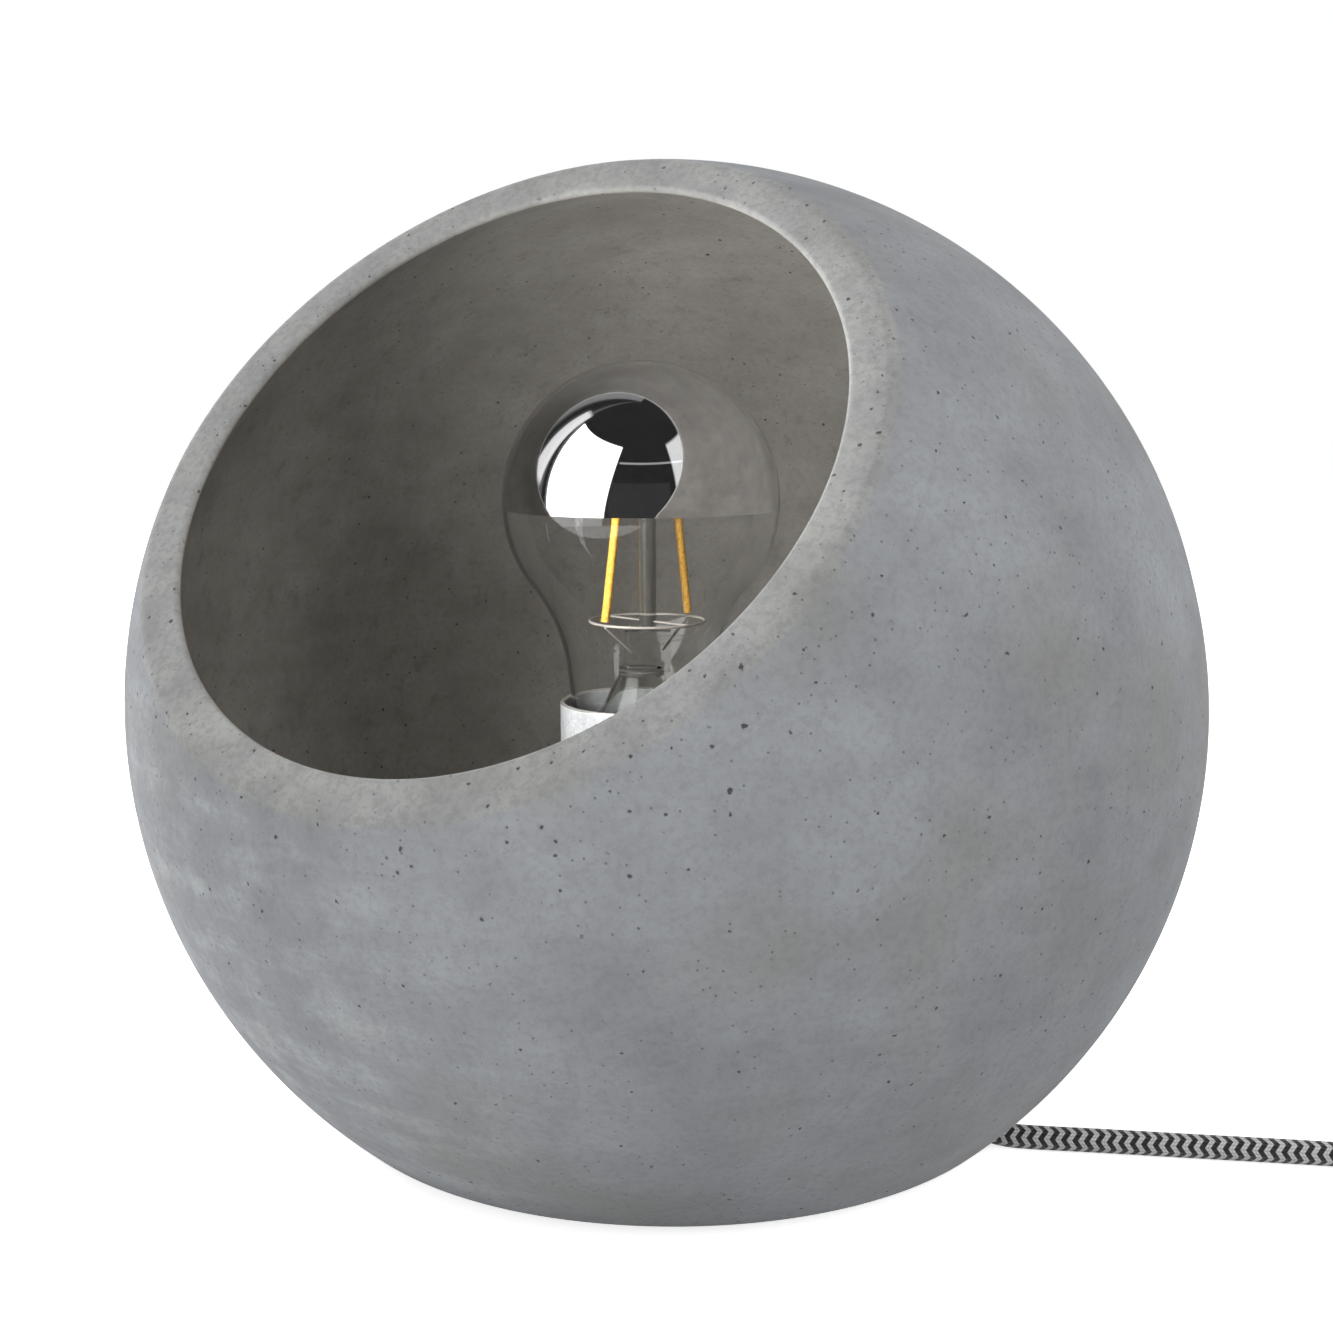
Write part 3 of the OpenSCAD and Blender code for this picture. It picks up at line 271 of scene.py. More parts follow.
lead_route = [
    exit_point, Vector(exit_point) - cord_d * Vector(channel_way),
    (87, 3.6, 2.5), (99, 8.3, 2.5), (109, 12.1, 2.5), (119, 15.9, 2.5), (131, 20.5, 2.5), (143.5, 25.2, 2.5),
    (157, 30, 2.5), (170, 33.6, 2.5), (182, 34, 2.5), (192.5, 29.5, 2.5), (199.5, 20.5, 2.5), (202.4, 9, 2.6),
    (203, 0, 4.1), (203, -8, 6.4), (203, -15, 7.5), (203, -20, port_z), (203, -20 - port_reach, port_z),
]
coil_in = (on_coil(0.001) - on_coil(0)).normalized()
coil_out = (on_coil(coil_turns) - on_coil(coil_turns - 0.001)).normalized()
coil_rings = round(coil_turns * 24)
main_route = [
    (203, -78 + port_reach, port_z), (203, -78, port_z), (203, -83, 7.5), (203.4, -91, 5.9), (205, -99, 3.6),
    (210, -106.4, 2.5), (218, -111, 2.5), (227, -112, 2.5), (236, -109.4, 2.5), (243, -103, 2.5), (247, -94, 2.5),
    *[(248, y, 2.5) for y in range(-84, 61, 12)], (248, 70, 2.5),
    on_coil(0) - 2 * cord_d * coil_in, on_coil(0) - cord_d * coil_in,
    *[on_coil(i * coil_turns / coil_rings) for i in range(coil_rings + 1)],
    on_coil(coil_turns) + cord_d * coil_out, on_coil(coil_turns) + 2 * cord_d * coil_out,
    (239.4, 111.5, 6.7), (235.3, 119.2, 5.6), (229.5, 126.2, 5.1), (222.5, 131.4, 5.6), (215.5, 134, 6.4),
    (plug_tip[0] + cord_d, plug_tip[1], plug_tip[2]), plug_tip,
]
for name, route, step, sides, stands_for, far_end, lay, fittings in (
        ("lead_cord", lead_route, 1.5, 24, ["cord_lead"], "fitting", "loose",
         ("switch_base", "switch_cover", "switch_rocker", "switch_terminals", "switch_screws")),
        ("main_cord", main_route, 2.5, 20, ["cord_link", "cord_coil", "cord_tail"], "plug", "coiled",
         ("plug_boot", "plug_body", "plug_pins", "pin_sleeves"))):
    way = smooth_route(route, step * mm)
    shape = bmesh.new()
    tube_along(shape, way, cord_r, sides)
    cord = piece(name, shape, braid_finish, "lamp", stands_for)
    sum((b - a).length for a, b in zip(way, way[1:]))

# Concrete ball: a cast shell with a slanted round mouth, a flat foot and a wiring recess under its floor.
# Its mouth is ground flat and lightly rounded; small pores and pale clouds stay in the cast face. The pores' dark
# colour is painted shade, and the pale patch at the lower left front is partly painted light.
ball_r, ball_wall, ball_half = 116.5, 6.2, 2.4
mouth_out, mouth_tilt, ball_z = 90.2, 40.2, 89.5
rim_outer, rim_inner, foot_round = 3.0, 1.0, 2.5
foot_z, pocket_z, recess_z, cavity_z = 1.5, 3.5, 14.5, 23.5
foot_y, pocket_r, recess_r = ball_half * cos(radians(mouth_tilt)), 54.1, 46.1
bulb_y, belly_z = -12.8, 60.0
hollow_r = ball_r - ball_wall
mouth_frame = Matrix.Translation((0, 0, ball_z * mm)) @ Matrix.Rotation(radians(90 - mouth_tilt), 4, "X")


def arc(centre, radius, start, end, steps):
    """Points of an arc in the plane of a turned shape's outline, as radius and height."""
    turns = [radians(start + (end - start) * i / steps) for i in range(steps + 1)]
    return [(centre[0] + radius * cos(a), centre[1] + radius * sin(a)) for a in turns]


def turned(shape, outline, steps, place=Matrix(), closed=False):
    """Turns an outline of (radius, height) points round the Z axis, then puts it in its place."""
    corners = [shape.verts.new((r * mm, 0, z * mm)) for r, z in outline]
    edges = [shape.edges.new(pair) for pair in zip(corners, corners[1:] + corners[:1] * closed)]
    old = set(shape.verts) - set(corners)
    bmesh.ops.spin(
        shape, geom=corners + edges, cent=(0, 0, 0), axis=(0, 0, 1), angle=2 * pi, steps=steps, use_merge=True)
    fresh = [v for v in shape.verts if v not in old]
    bmesh.ops.remove_doubles(shape, verts=fresh, dist=1e-6)
    fresh = [v for v in shape.verts if v not in old]
    bmesh.ops.transform(shape, verts=fresh, matrix=place)
    return fresh


def rim_centre(radius, round_r, side):
    """The middle of the rim's rounding on the outer side, 1, or the inner side, -1."""
    return (sqrt((radius - side * round_r) ** 2 - (mouth_out - round_r - ball_half) ** 2), mouth_out - round_r)


outer_c, inner_c = rim_centre(ball_r, rim_outer, 1), rim_centre(hollow_r, rim_inner, -1)
outer_turn = degrees(atan2(outer_c[1] - ball_half, outer_c[0]))
inner_turn = degrees(atan2(inner_c[1] - ball_half, inner_c[0]))
shape = bmesh.new()
turned(shape, arc((0, -ball_half), ball_r, -90, 0, 60) + arc((0, ball_half), ball_r, 0, outer_turn, 34)
       + arc(outer_c, rim_outer, outer_turn, 90, 6)[1:] + arc(inner_c, rim_inner, 90, 180 + inner_turn, 6)
       + arc((0, ball_half), hollow_r, inner_turn, 0, 36)[1:] + arc((0, -ball_half), hollow_r, 0, -90, 60),
       240, mouth_frame)

low_z = ball_z - ball_half * sin(radians(mouth_tilt))
round_z = foot_z + foot_round
round_c = sqrt((ball_r - foot_round) ** 2 - (low_z - round_z) ** 2)
cut_z = low_z - (low_z - round_z) * ball_r / (ball_r - foot_round)
middle = Vector((0, 0, ball_z * mm))
lower = [f for f in shape.faces if f.calc_center_median().z < belly_z * mm]
outside = [f for f in lower if (f.calc_center_median() - middle).length > (ball_r - ball_half) * mm]
inside = [f for f in lower if f not in outside]


def cut_level(shape, faces, height):
    """Takes away what lies under a level and gives the edges of the cut."""
    geom = list({v for f in faces for v in f.verts}) + list({e for f in faces for e in f.edges}) + faces
    made = bmesh.ops.bisect_plane(
        shape, geom=geom, plane_co=(0, 0, height * mm), plane_no=(0, 0, 1), clear_inner=True, dist=1e-7)
    return [g for g in made["geom_cut"] if isinstance(g, bmesh.types.BMEdge)]


def run_in(shape, edges, radius, new_radius, height, new_height):
    """Draws the foot's round edge on to a new radius and height."""
    grown = bmesh.ops.extrude_edge_only(shape, edges=edges)["geom"]
    fresh = [g for g in grown if isinstance(g, bmesh.types.BMVert)]
    centre = Matrix.Translation((0, foot_y * mm, height * mm))
    scale = Matrix.Diagonal((new_radius / radius, new_radius / radius, 1, 1))
    lift = Matrix.Translation((0, 0, (new_height - height) * mm))
    bmesh.ops.transform(shape, verts=fresh, matrix=lift @ centre @ scale @ centre.inverted())
    return [g for g in grown if isinstance(g, bmesh.types.BMEdge) and all(v in fresh for v in g.verts)]


floor_edges = cut_level(shape, inside, cavity_z)
bmesh.ops.contextual_create(shape, geom=floor_edges)
foot_edges = cut_level(shape, outside, cut_z)
cut_turn = degrees(atan2(low_z - round_z, round_c))
foot_steps = arc((round_c, round_z), foot_round, -cut_turn, -90, 6)
foot_steps += [(pocket_r, foot_z), (pocket_r, pocket_z), (recess_r, pocket_z), (recess_r, recess_z)]
for (r, z), (new_r, new_z) in zip(foot_steps, foot_steps[1:]):
    foot_edges = run_in(shape, foot_edges, r, new_r, z, new_z)
bmesh.ops.contextual_create(shape, geom=foot_edges)

mouth_way, pale_patch_at = (0, -cos(radians(mouth_tilt)), sin(radians(mouth_tilt))), (-0.045, -0.092, -0.045)
concrete_finish, concrete_place = new_finish("cast_concrete")
ball_place = concrete_place.vector("SUBTRACT", concrete_place, (0, 0, ball_z * mm))
along_mouth = ball_place.vector("DOT_PRODUCT", ball_place, mouth_way, out=1) / mm
from_middle = ball_place.vector("LENGTH", ball_place, out=1) / mm
from_pale_patch = ball_place.vector("DISTANCE", ball_place, pale_patch_at, out=1) / mm
inner_side = from_middle.rise(ball_r - 2.5, ball_r - 4.5)
rim_face = along_mouth.rise(mouth_out - 1.6, mouth_out - 0.5)
near_rim = along_mouth.rise(mouth_out - 34, mouth_out - 4)

clouds = concrete_place.noise(46, 4, 0.6)
small_clouds = concrete_place.noise(13, 5, 0.62)
warm_clouds = concrete_place.noise(30, 3, 0.5)
blotches = concrete_place.noise(5.5, 5, 0.72)
grain = concrete_place.noise(1.5, 4, 0.7)
sand = concrete_place.noise(0.55, 2, 0.6)
streaks = concrete_place.noise(17, 4, 0.6, (0.35, 0.35, 2.6))
rings = concrete_place.node("CombineXYZ", {}, {0: along_mouth * mm}).noise(2.4, 3, 0.6)
ring_zone = along_mouth.rise(30, 55) * along_mouth.rise(mouth_out - 1, mouth_out - 6) * streaks.rise(0.35, 0.6)
# Pale patch at the lower left front: partly a whitish bloom in the cast, partly painted light on the lit left side.
pale_bloom_and_painted_light = from_pale_patch.rise(95, 20) * (small_clouds * 0.6 + streaks * 0.5).rise(0.5, 0.72)
tone = clouds.rise(0.3, 0.7) * 0.5 + small_clouds.rise(0.3, 0.7) * 0.32 + streaks.rise(0.35, 0.7) * 0.18

pore_patch = concrete_place.noise(24, 3, 0.6).rise(0.4, 0.7)
speck = concrete_place.cells(1.7)
dark_speck = speck.rise(0.19, 0.08) * (speck.lot() + pore_patch * 0.3).rise(0.72, 0.8)
ragged = concrete_place.noise(1 / 0.9, 2, 0.5).output("Color")
ragged = ragged.vector("SUBTRACT", ragged, (0.5, 0.5, 0.5))
pore_place = ragged.vector("MULTIPLY_ADD", ragged, (1.1 * mm, 1.1 * mm, 1.1 * mm), concrete_place)
pore, big_pore = pore_place.cells(2.7), pore_place.cells(11.0)
# Pits: pores and a few larger holes, dented in by the bump; their dark colour is painted shade inside them.
pits = (pore.rise(0.16, 0.07) * (pore.lot() + near_rim * 0.15 + pore_patch * 0.2).rise(0.88, 0.93)
        + big_pore.rise(0.055, 0.035) * (big_pore.lot() + near_rim * 0.2).rise(0.84, 0.88))

outer_colour = tone.blend(rgb(130, 132, 135), rgb(158, 161, 165))
outer_colour = (warm_clouds.rise(0.5, 0.7) * 0.42).blend(outer_colour, rgb(139, 137, 132))
# Painted light, partly a real bloom: the pale patch at the lower left front.
outer_colour = (pale_bloom_and_painted_light * 0.5).blend(outer_colour, rgb(186, 189, 190))
outer_colour = (rings.rise(0.5, 0.72) * ring_zone * 0.22).blend(outer_colour, rgb(112, 113, 115))
outer_colour = (grain.rise(0.6, 0.3) * 0.28).blend(outer_colour, rgb(104, 106, 108))
inner_colour = tone.blend(rgb(128, 125, 120), rgb(158, 155, 149))
inner_colour = (blotches.rise(0.54, 0.68) * 0.3).blend(inner_colour, rgb(98, 95, 91))
inner_colour = (grain.rise(0.6, 0.3) * 0.25).blend(inner_colour, rgb(104, 101, 97))
rim_colour = small_clouds.rise(0.3, 0.7).blend(rgb(141, 141, 138), rgb(165, 165, 160))
rim_colour = (grain.rise(0.58, 0.36) * 0.45).blend(rim_colour, rgb(116, 115, 110))
concrete_colour = inner_side.blend(outer_colour, inner_colour)
concrete_colour = (rim_face * 0.6).blend(concrete_colour, rim_colour)
concrete_colour = (dark_speck * 0.6).blend(concrete_colour, rgb(66, 67, 68))
# The pits' near-black colour is painted shade in the pores.
surface(concrete_place, {
    "Base Color": (pits * 0.85).blend(concrete_colour, rgb(44, 43, 42)),
    "Roughness": 0.78 + (grain - 0.5) * 0.2,
    "Specular IOR Level": 0.35,
    "Normal": (grain * 0.35 + sand * 0.3 + small_clouds * 0.6 - pits * 1.6 - rim_face * sand * 0.6).bump(0.3, 0.55),
})
concrete_crease = 28
concrete_ball = piece(
    "concrete_ball", shape, concrete_finish, "lamp", ["concrete_body"], crease=concrete_crease)


def drill(target, cutter):
    """Takes a cutter's shape away from a piece, and the cutter with it."""
    mesh = bpy.data.meshes.new("cutter")
    bmesh.ops.recalc_face_normals(cutter, faces=cutter.faces)
    cutter.to_mesh(mesh)
    cutter.free()
    tool = bpy.data.objects.new("cutter", mesh)
    bpy.context.collection.objects.link(tool)
    cut = target.modifiers.new("cut", "BOOLEAN")
    cut.operation, cut.solver, cut.object = "DIFFERENCE", "EXACT", tool
    carved = bpy.data.meshes.new_from_object(target.evaluated_get(bpy.context.evaluated_depsgraph_get()))
    target.modifiers.clear()
    target.data = carved
    bpy.data.objects.remove(tool)


def round_hole(cutter, radius, low, high, place):
    """One round hole of a cutter, from a low to a high level over its place."""
    bmesh.ops.create_cone(
        cutter, cap_ends=True, segments=32, radius1=radius * mm, radius2=radius * mm, depth=(high - low) * mm,
        matrix=place @ Matrix.Translation((0, 0, (low + high) / 2 * mm)))


channel_r, channel_low, channel_start, channel_long = 4.4, -20.0, -15.0, 57.0
cord_turn, cord_slope = 21.0, 12.0
ledge_r, stem_hole_r, insert_hole_r, insert_deep = 50.1, 5.2, 2.4, 7.4
channel_frame = (Matrix.Translation(Vector(exit_point) * mm) @ Matrix.Rotation(radians(cord_turn + 180), 4, "Z")
                 @ Matrix.Rotation(radians(-cord_slope), 4, "Y"))
cutter = bmesh.new()
keyhole = arc((0, 0), channel_r, 0, 180, 24) + [(-channel_r, channel_low), (channel_r, channel_low)]
face = cutter.faces.new([cutter.verts.new((channel_start * mm, y * mm, z * mm)) for y, z in keyhole])
grown = bmesh.ops.extrude_face_region(cutter, geom=[face])["geom"]
bmesh.ops.translate(
    cutter, verts=[g for g in grown if isinstance(g, bmesh.types.BMVert)], vec=(channel_long * mm, 0, 0))
bmesh.ops.transform(cutter, verts=cutter.verts, matrix=channel_frame)
round_hole(cutter, stem_hole_r, recess_z - 2, cavity_z + 2, Matrix.Translation((0, bulb_y * mm, 0)))
for i in range(3):
    place = Matrix.Translation((0, foot_y * mm, 0)) @ Matrix.Rotation(radians(90 + 120 * i), 4, "Z")
    round_hole(cutter, insert_hole_r, pocket_z - 1, pocket_z + insert_deep,
               place @ Matrix.Translation((ledge_r * mm, 0, 0)))
drill(concrete_ball, cutter)
concrete_ball.data.shade_smooth()
concrete_ball.data.set_sharp_from_angle(angle=radians(concrete_crease))

# Felt ring: black wool felt, glued under the foot so that the concrete doesn't scratch the table.
# It is punched as one ring and has a gap where the cord leaves.
def dress(finish, *nodes):
    """Gives CAD parts, whose shape is right, their finish."""
    for name in nodes:
        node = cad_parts[name]
        node.data.materials.clear()
        node.data.materials.append(finish)


felt_finish, felt_place = new_finish("wool_felt")
felt_hair = felt_place.noise(0.5, 4, 0.8)
felt_lump = felt_place.noise(3, 3, 0.6)
surface(felt_place, {
    "Base Color": (felt_hair * 0.6 + felt_lump * 0.4).rise(0.3, 0.7).blend(rgb(26, 26, 28), rgb(52, 52, 55)),
    "Roughness": 0.95, "Sheen Weight": 0.4, "Normal": (felt_hair + felt_lump * 0.5).bump(0.3)})
dress(felt_finish, "felt_ring")

# Base cover, cord clamp and cord bush: moulded black plastic and rubber. The cover is screwed to the ledge
# with three small screws, the clamp holds the cord under the slab, and the bush lines the cord's way out.
plastic_finish, plastic_place = new_finish("moulded_black_plastic")
plastic_grain = plastic_place.noise(0.35, 2, 0.5)
plastic_cloud = plastic_place.noise(9, 3, 0.5)
surface(plastic_place, {
    "Base Color": plastic_cloud.blend(rgb(27, 27, 29), rgb(36, 36, 38)), "Roughness": plastic_grain * 0.16 + 0.34,
    "Normal": plastic_grain.bump(0.05, 0.5)})
dress(plastic_finish, "base_cover", "cord_clamp")
rubber_finish, rubber_place = new_finish("cord_rubber")
rubber_bloom = rubber_place.noise(4, 4, 0.6)
surface(rubber_place, {
    "Base Color": rubber_bloom.blend(rgb(22, 22, 23), rgb(34, 34, 35)), "Roughness": rubber_bloom * 0.2 + 0.55,
    "Normal": rubber_place.noise(0.3, 2, 0.5).bump(0.04, 0.5)})
dress(rubber_finish, "cord_bush")

# Brass inserts, terminals and contacts: turned or stamped brass, slightly dulled. The inserts are cast into
# the slab, and the screw shell and the spring contact sit in the lampholder's core.
brass_finish, brass_place = new_finish("dull_brass")
brass_cloud = brass_place.noise(2.5, 4, 0.6)
surface(brass_place, {
    "Base Color": brass_cloud.blend(rgb(186, 146, 78), rgb(222, 188, 120)), "Metallic": 1.0,
    "Roughness": brass_cloud * 0.2 + 0.22, "Normal": brass_place.noise(0.25, 2, 0.5, (1, 1, 6)).bump(0.02, 0.4)})
dress(brass_finish, "cover_inserts", "clamp_inserts", "holder_terminals", "screw_shell", "spring_contact",
      "switch_terminals")

# Screws, washer, nuts and the threaded tube: zinc-plated steel with a faint blue and yellow cast.
# The tube is clamped in the slab by the washer and the lower nut, and carries the cup and the lampholder.
steel_finish, steel_place = new_finish("zinc_steel")
steel_cloud = steel_place.noise(3, 4, 0.6)
surface(steel_place, {
    "Base Color": steel_cloud.rise(0.3, 0.7).blend(rgb(170, 174, 180), rgb(196, 194, 184)), "Metallic": 1.0,
    "Roughness": steel_cloud * 0.22 + 0.24, "Normal": steel_place.noise(0.22, 2, 0.5).bump(0.02, 0.4)})
dress(steel_finish, "cover_screws", "clamp_screws", "stem_tube", "stem_washer", "lower_nut", "upper_nut",
      "switch_screws")

# Cord inside the foot: the braid ends in the clamp under the slab. The brown and the blue core go on from
# there, up through the threaded tube to the lampholder's two terminals.
inner_step = (cos(radians(cord_turn + 180)), sin(radians(cord_turn + 180)))


def into_foot(way, height):
    """A place along the cord's way into the foot."""
    return Vector((exit_point[0] + way * inner_step[0], exit_point[1] + way * inner_step[1], height))


bend_at, level_at, clamp_at, sheath_end = 29, 38, 50, 63
clamp_cord_z = recess_z - cord_r - 1.1
cord_rise = tan(radians(cord_slope))
bend_z = exit_point[2] + bend_at * cord_rise
inner_route = [
    exit_point, Vector(exit_point) + cord_d * Vector(channel_way),
    into_foot(bend_at / 2, exit_point[2] + bend_at / 2 * cord_rise), into_foot(bend_at, bend_z),
    into_foot((bend_at + level_at) / 2, (bend_z + 2 * clamp_cord_z) / 3), into_foot(level_at, clamp_cord_z),
    into_foot(clamp_at, clamp_cord_z), into_foot(sheath_end, clamp_cord_z)]
shape = bmesh.new()
tube_along(shape, smooth_route(inner_route, 2 * mm), cord_r, 20)
piece("inner_cord_braid", shape, braid_finish, "lamp", ["inner_cord"])

stem_low_z, stem_top_z, terminal_z = 8.5, 35.0, 46.0
core_d, core_apart, cover_gap = 2.0, 1.3, 2.0
sheath = into_foot(sheath_end, clamp_cord_z)
inward, up = Vector((*inner_step, 0)), Vector((0, 0, 1))
core_way = Vector((-sheath.x, bulb_y - sheath.y, 0)).normalized()
core_across = Vector((core_way.y, -core_way.x, 0))
dip = (stem_low_z - foot_z - cover_gap - 0.8 * core_d) * up
for name, s, end_x, slot, dark, pale in (
        ("live_core", 1, 6.0, "brown_insulation", (72, 38, 20), (98, 54, 30)),
        ("neutral_core", -1, 11.7, "blue_insulation", (26, 66, 140), (48, 96, 178))):
    start = sheath + s * core_apart * Vector((inner_step[1], -inner_step[0], 0))
    side = s * core_apart * core_across
    stem_foot = Vector((0, bulb_y, stem_low_z)) + side
    core_route = [
        start, start + core_d * inward, 0.55 * (start + 2 * core_d * inward) + 0.45 * (stem_foot - dip),
        stem_foot - dip - 2 * core_d * core_way + core_d / 4 * up, stem_foot - dip / 2,
        stem_foot + core_d * up, stem_foot + (stem_top_z - stem_low_z) / 2 * up,
        stem_foot + (stem_top_z - stem_low_z) * up,
        Vector((s * end_x / 2, bulb_y, (stem_top_z + terminal_z) / 2)) + side / 2,
        Vector((s * end_x, bulb_y, terminal_z - core_d)), Vector((s * end_x, bulb_y, terminal_z))]
    core_finish, core_place = new_finish(slot)
    core_cloud = core_place.noise(3, 3, 0.5)
    surface(core_place, {
        "Base Color": core_cloud.blend(rgb(*dark), rgb(*pale)), "Roughness": core_cloud * 0.15 + 0.35,
        "Normal": core_place.noise(0.4, 2, 0.5).bump(0.03, 0.4)})
    shape = bmesh.new()
    tube_along(shape, smooth_route(core_route, mm), core_d / 2, 12)
    piece(name + "_tube", shape, core_finish, "lamp", [name])

# Socket cup: a drawn steel cup with a thin metal lip and a speckled grey stove coating; the lip's near-white colour is
# a painted highlight. It stands on the floor of the ball, held by the upper nut, and hides the lampholder.
cup_r, cup_wall, cup_top, cup_hole, cup_fillet, round_steps = 17.8, 1.0, 92.2, 5.1, 1.5, 128
cup_finish, cup_place = new_finish("speckled_cup_coating")
cup_speck = cup_place.cells(0.75)
cup_lot = cup_speck.lot()
cup_cloud = cup_place.noise(7, 4, 0.6)
cup_height = cup_place.node("SeparateXYZ", {}, {0: cup_place}, out=2) / mm
# The lip is made metallic and smoother, and its near-white colour is a painted highlight along the edge.
cup_lip_highlight = cup_height.rise(cup_top - 0.75, cup_top - 0.35)
cup_colour = cup_cloud.rise(0.25, 0.75).blend(rgb(140, 142, 143), rgb(164, 166, 167))
cup_colour = (cup_lot.rise(0.55, 0.6) * cup_speck.rise(0.42, 0.2) * 0.5).blend(cup_colour, rgb(205, 205, 203))
cup_colour = (cup_lot.rise(0.3, 0.25) * cup_speck.rise(0.4, 0.2) * 0.5).blend(cup_colour, rgb(96, 97, 98))
surface(cup_place, {
    "Base Color": cup_lip_highlight.blend(cup_colour, rgb(222, 221, 217)), "Metallic": cup_lip_highlight * 0.8,
    "Roughness": 0.5 - cup_lip_highlight * 0.25,
    "Normal": (cup_speck.rise(0.5, 0.1) + cup_cloud * 0.5).bump(0.05, 0.5)})
cup_floor, cup_inner = cavity_z + cup_wall, cup_r - cup_wall
cup_outline = (
    [(cup_hole, cavity_z), (cup_r - cup_fillet, cavity_z)]
    + arc((cup_r - cup_fillet, cavity_z + cup_fillet), cup_fillet, -90, 0, 5)[1:] + [(cup_r, z) for z in (40, 60, 80)]
    + arc((cup_r - cup_wall / 2, cup_top - cup_wall / 2), cup_wall / 2, 0, 180, 8)
    + [(cup_inner, z) for z in (80, 60, 40, cup_floor)] + [(cup_hole, cup_floor)])
shape = bmesh.new()
turned(shape, cup_outline, round_steps, Matrix.Translation((0, bulb_y * mm, 0)), closed=True)
piece("socket_cup_shell", shape, cup_finish, "lamp", ["socket_cup"])

# Lampholder: dome and sleeve moulded in black resin round a white ceramic core with the brass screw shell.
# The dome screws on to the threaded tube, and the sleeve on to the dome.
resin_finish, resin_place = new_finish("holder_resin")
resin_cloud = resin_place.noise(6, 3, 0.5)
surface(resin_place, {
    "Base Color": resin_cloud.blend(rgb(24, 24, 25), rgb(34, 34, 35)), "Roughness": resin_cloud * 0.12 + 0.3,
    "Normal": resin_place.noise(0.5, 2, 0.5).bump(0.04, 0.4)})
dress(resin_finish, "holder_dome", "holder_sleeve")
ceramic_finish, ceramic_place = new_finish("core_ceramic")
ceramic_grain = ceramic_place.noise(0.8, 4, 0.6)
surface(ceramic_place, {
    "Base Color": ceramic_grain.blend(rgb(216, 212, 202), rgb(236, 233, 226)), "Roughness": ceramic_grain * 0.2 + 0.45,
    "Normal": ceramic_grain.bump(0.05, 0.5)})
dress(ceramic_finish, "holder_core")

# Bulb glass: one clear blown globe that runs through a hollow throat into its neck, which is cemented into
# the cap. It casts no shadow, because light passes through clear glass almost unchanged.
globe_r, globe_z, glass_wall = 30.0, 135.8, 0.8
skirt_r, cap_top, neck_taper, neck_end, neck_flare, neck_in_cap = 13.2, 87.3, 6.0, 3.0, 0.4, 2.6
neck_len = globe_z - cap_top
waist_r, throat_low = skirt_r + 2.7, 0.844 * neck_len
throat_r = (throat_low**2 - globe_r**2 + waist_r**2) / 2 / (globe_r - waist_r)
throat_x = waist_r + throat_r
throat_turn = degrees(atan2(throat_low, throat_x))
neck_r = skirt_r - 0.5
bulb_frame = Matrix.Translation((0, bulb_y * mm, globe_z * mm))


def glass_line(inset):
    """The outline of the glass from its crown to its neck, drawn in by a distance."""
    hollow, taper = throat_r + inset, radians(neck_taper)
    throat = arc((throat_x, -throat_low), hollow, 180 - throat_turn, 180 - neck_taper, 20)[1:]
    run = neck_len - neck_end - throat_low + throat_r * sin(taper)
    return arc((0, 0), globe_r - inset, 90, -throat_turn, 64) + throat + [
        (throat_x - hollow * cos(taper) - run * tan(taper), neck_end - neck_len),
        (neck_r - inset + neck_flare, 0.1 - neck_len), (neck_r - inset, -neck_len),
        (neck_r - inset, -neck_len - neck_in_cap)]


glass_finish, glass_place = new_finish("clear_glass")
glass_wave = glass_place.noise(14, 2, 0.5)
surface(glass_place, {
    "Base Color": rgb(255, 255, 255), "Roughness": 0.0, "Transmission Weight": 1.0, "IOR": 1.45,
    "Normal": glass_wave.bump(0.05, 0.25)})
shape = bmesh.new()
turned(shape, glass_line(0) + glass_line(glass_wall)[::-1], round_steps, bulb_frame)
globe = piece("bulb_glass_globe", shape, glass_finish, "bulb", ["bulb_glass"])
globe.visible_shadow = False

# Mirror: silver laid on the inside of the crown, down to a straight edge just under the middle of the globe.
# Its shadow is left out, because the renderer doesn't show the light that the silver throws back on the wall.
mirror_r, mirror_drop, mirror_thick = globe_r - glass_wall - 0.1, 1.6, 0.3
mirror_finish, mirror_place = new_finish("mirror_silver")
mirror_haze = mirror_place.noise(6, 3, 0.6)
surface(mirror_place, {
    "Base Color": mirror_haze.blend(rgb(226, 226, 228), rgb(240, 240, 241)), "Metallic": 1.0,
    "Roughness": mirror_haze * 0.03, "Normal": mirror_place.noise(20, 2, 0.5).bump(0.05, 0.2)})
mirror_turn = degrees(atan2(-mirror_drop, sqrt(mirror_r**2 - mirror_drop**2)))
shape = bmesh.new()
turned(shape, arc((0, 0), mirror_r, 90, mirror_turn, 56)
       + arc((0, 0), mirror_r - mirror_thick, mirror_turn, 90, 56), round_steps, bulb_frame)
mirror = piece("bulb_mirror_dome", shape, mirror_finish, "bulb", ["bulb_mirror"])
mirror.visible_shadow = False

# Bulb mount: a glass flare, press and rod that carry the filaments. The ring and the lead wires are fine
# nickel wire, melted into the press and welded to the ends of the filaments.
rod_finish, rod_place = new_finish("stem_glass")
surface(rod_place, {
    "Base Color": rgb(246, 248, 246), "Roughness": 0.02, "Transmission Weight": 1.0, "IOR": 1.5,
    "Normal": rod_place.noise(3, 2, 0.5).bump(0.08, 0.4)})
dress(rod_finish, "bulb_stem")
wire_finish, wire_place = new_finish("fine_wire")
wire_tone = wire_place.noise(2, 3, 0.5)
surface(wire_place, {
    "Base Color": wire_tone.blend(rgb(178, 172, 164), rgb(214, 208, 198)), "Metallic": 0.6,
    "Roughness": wire_tone * 0.2 + 0.35})
dress(wire_finish, "wire_ring", "lead_wires")

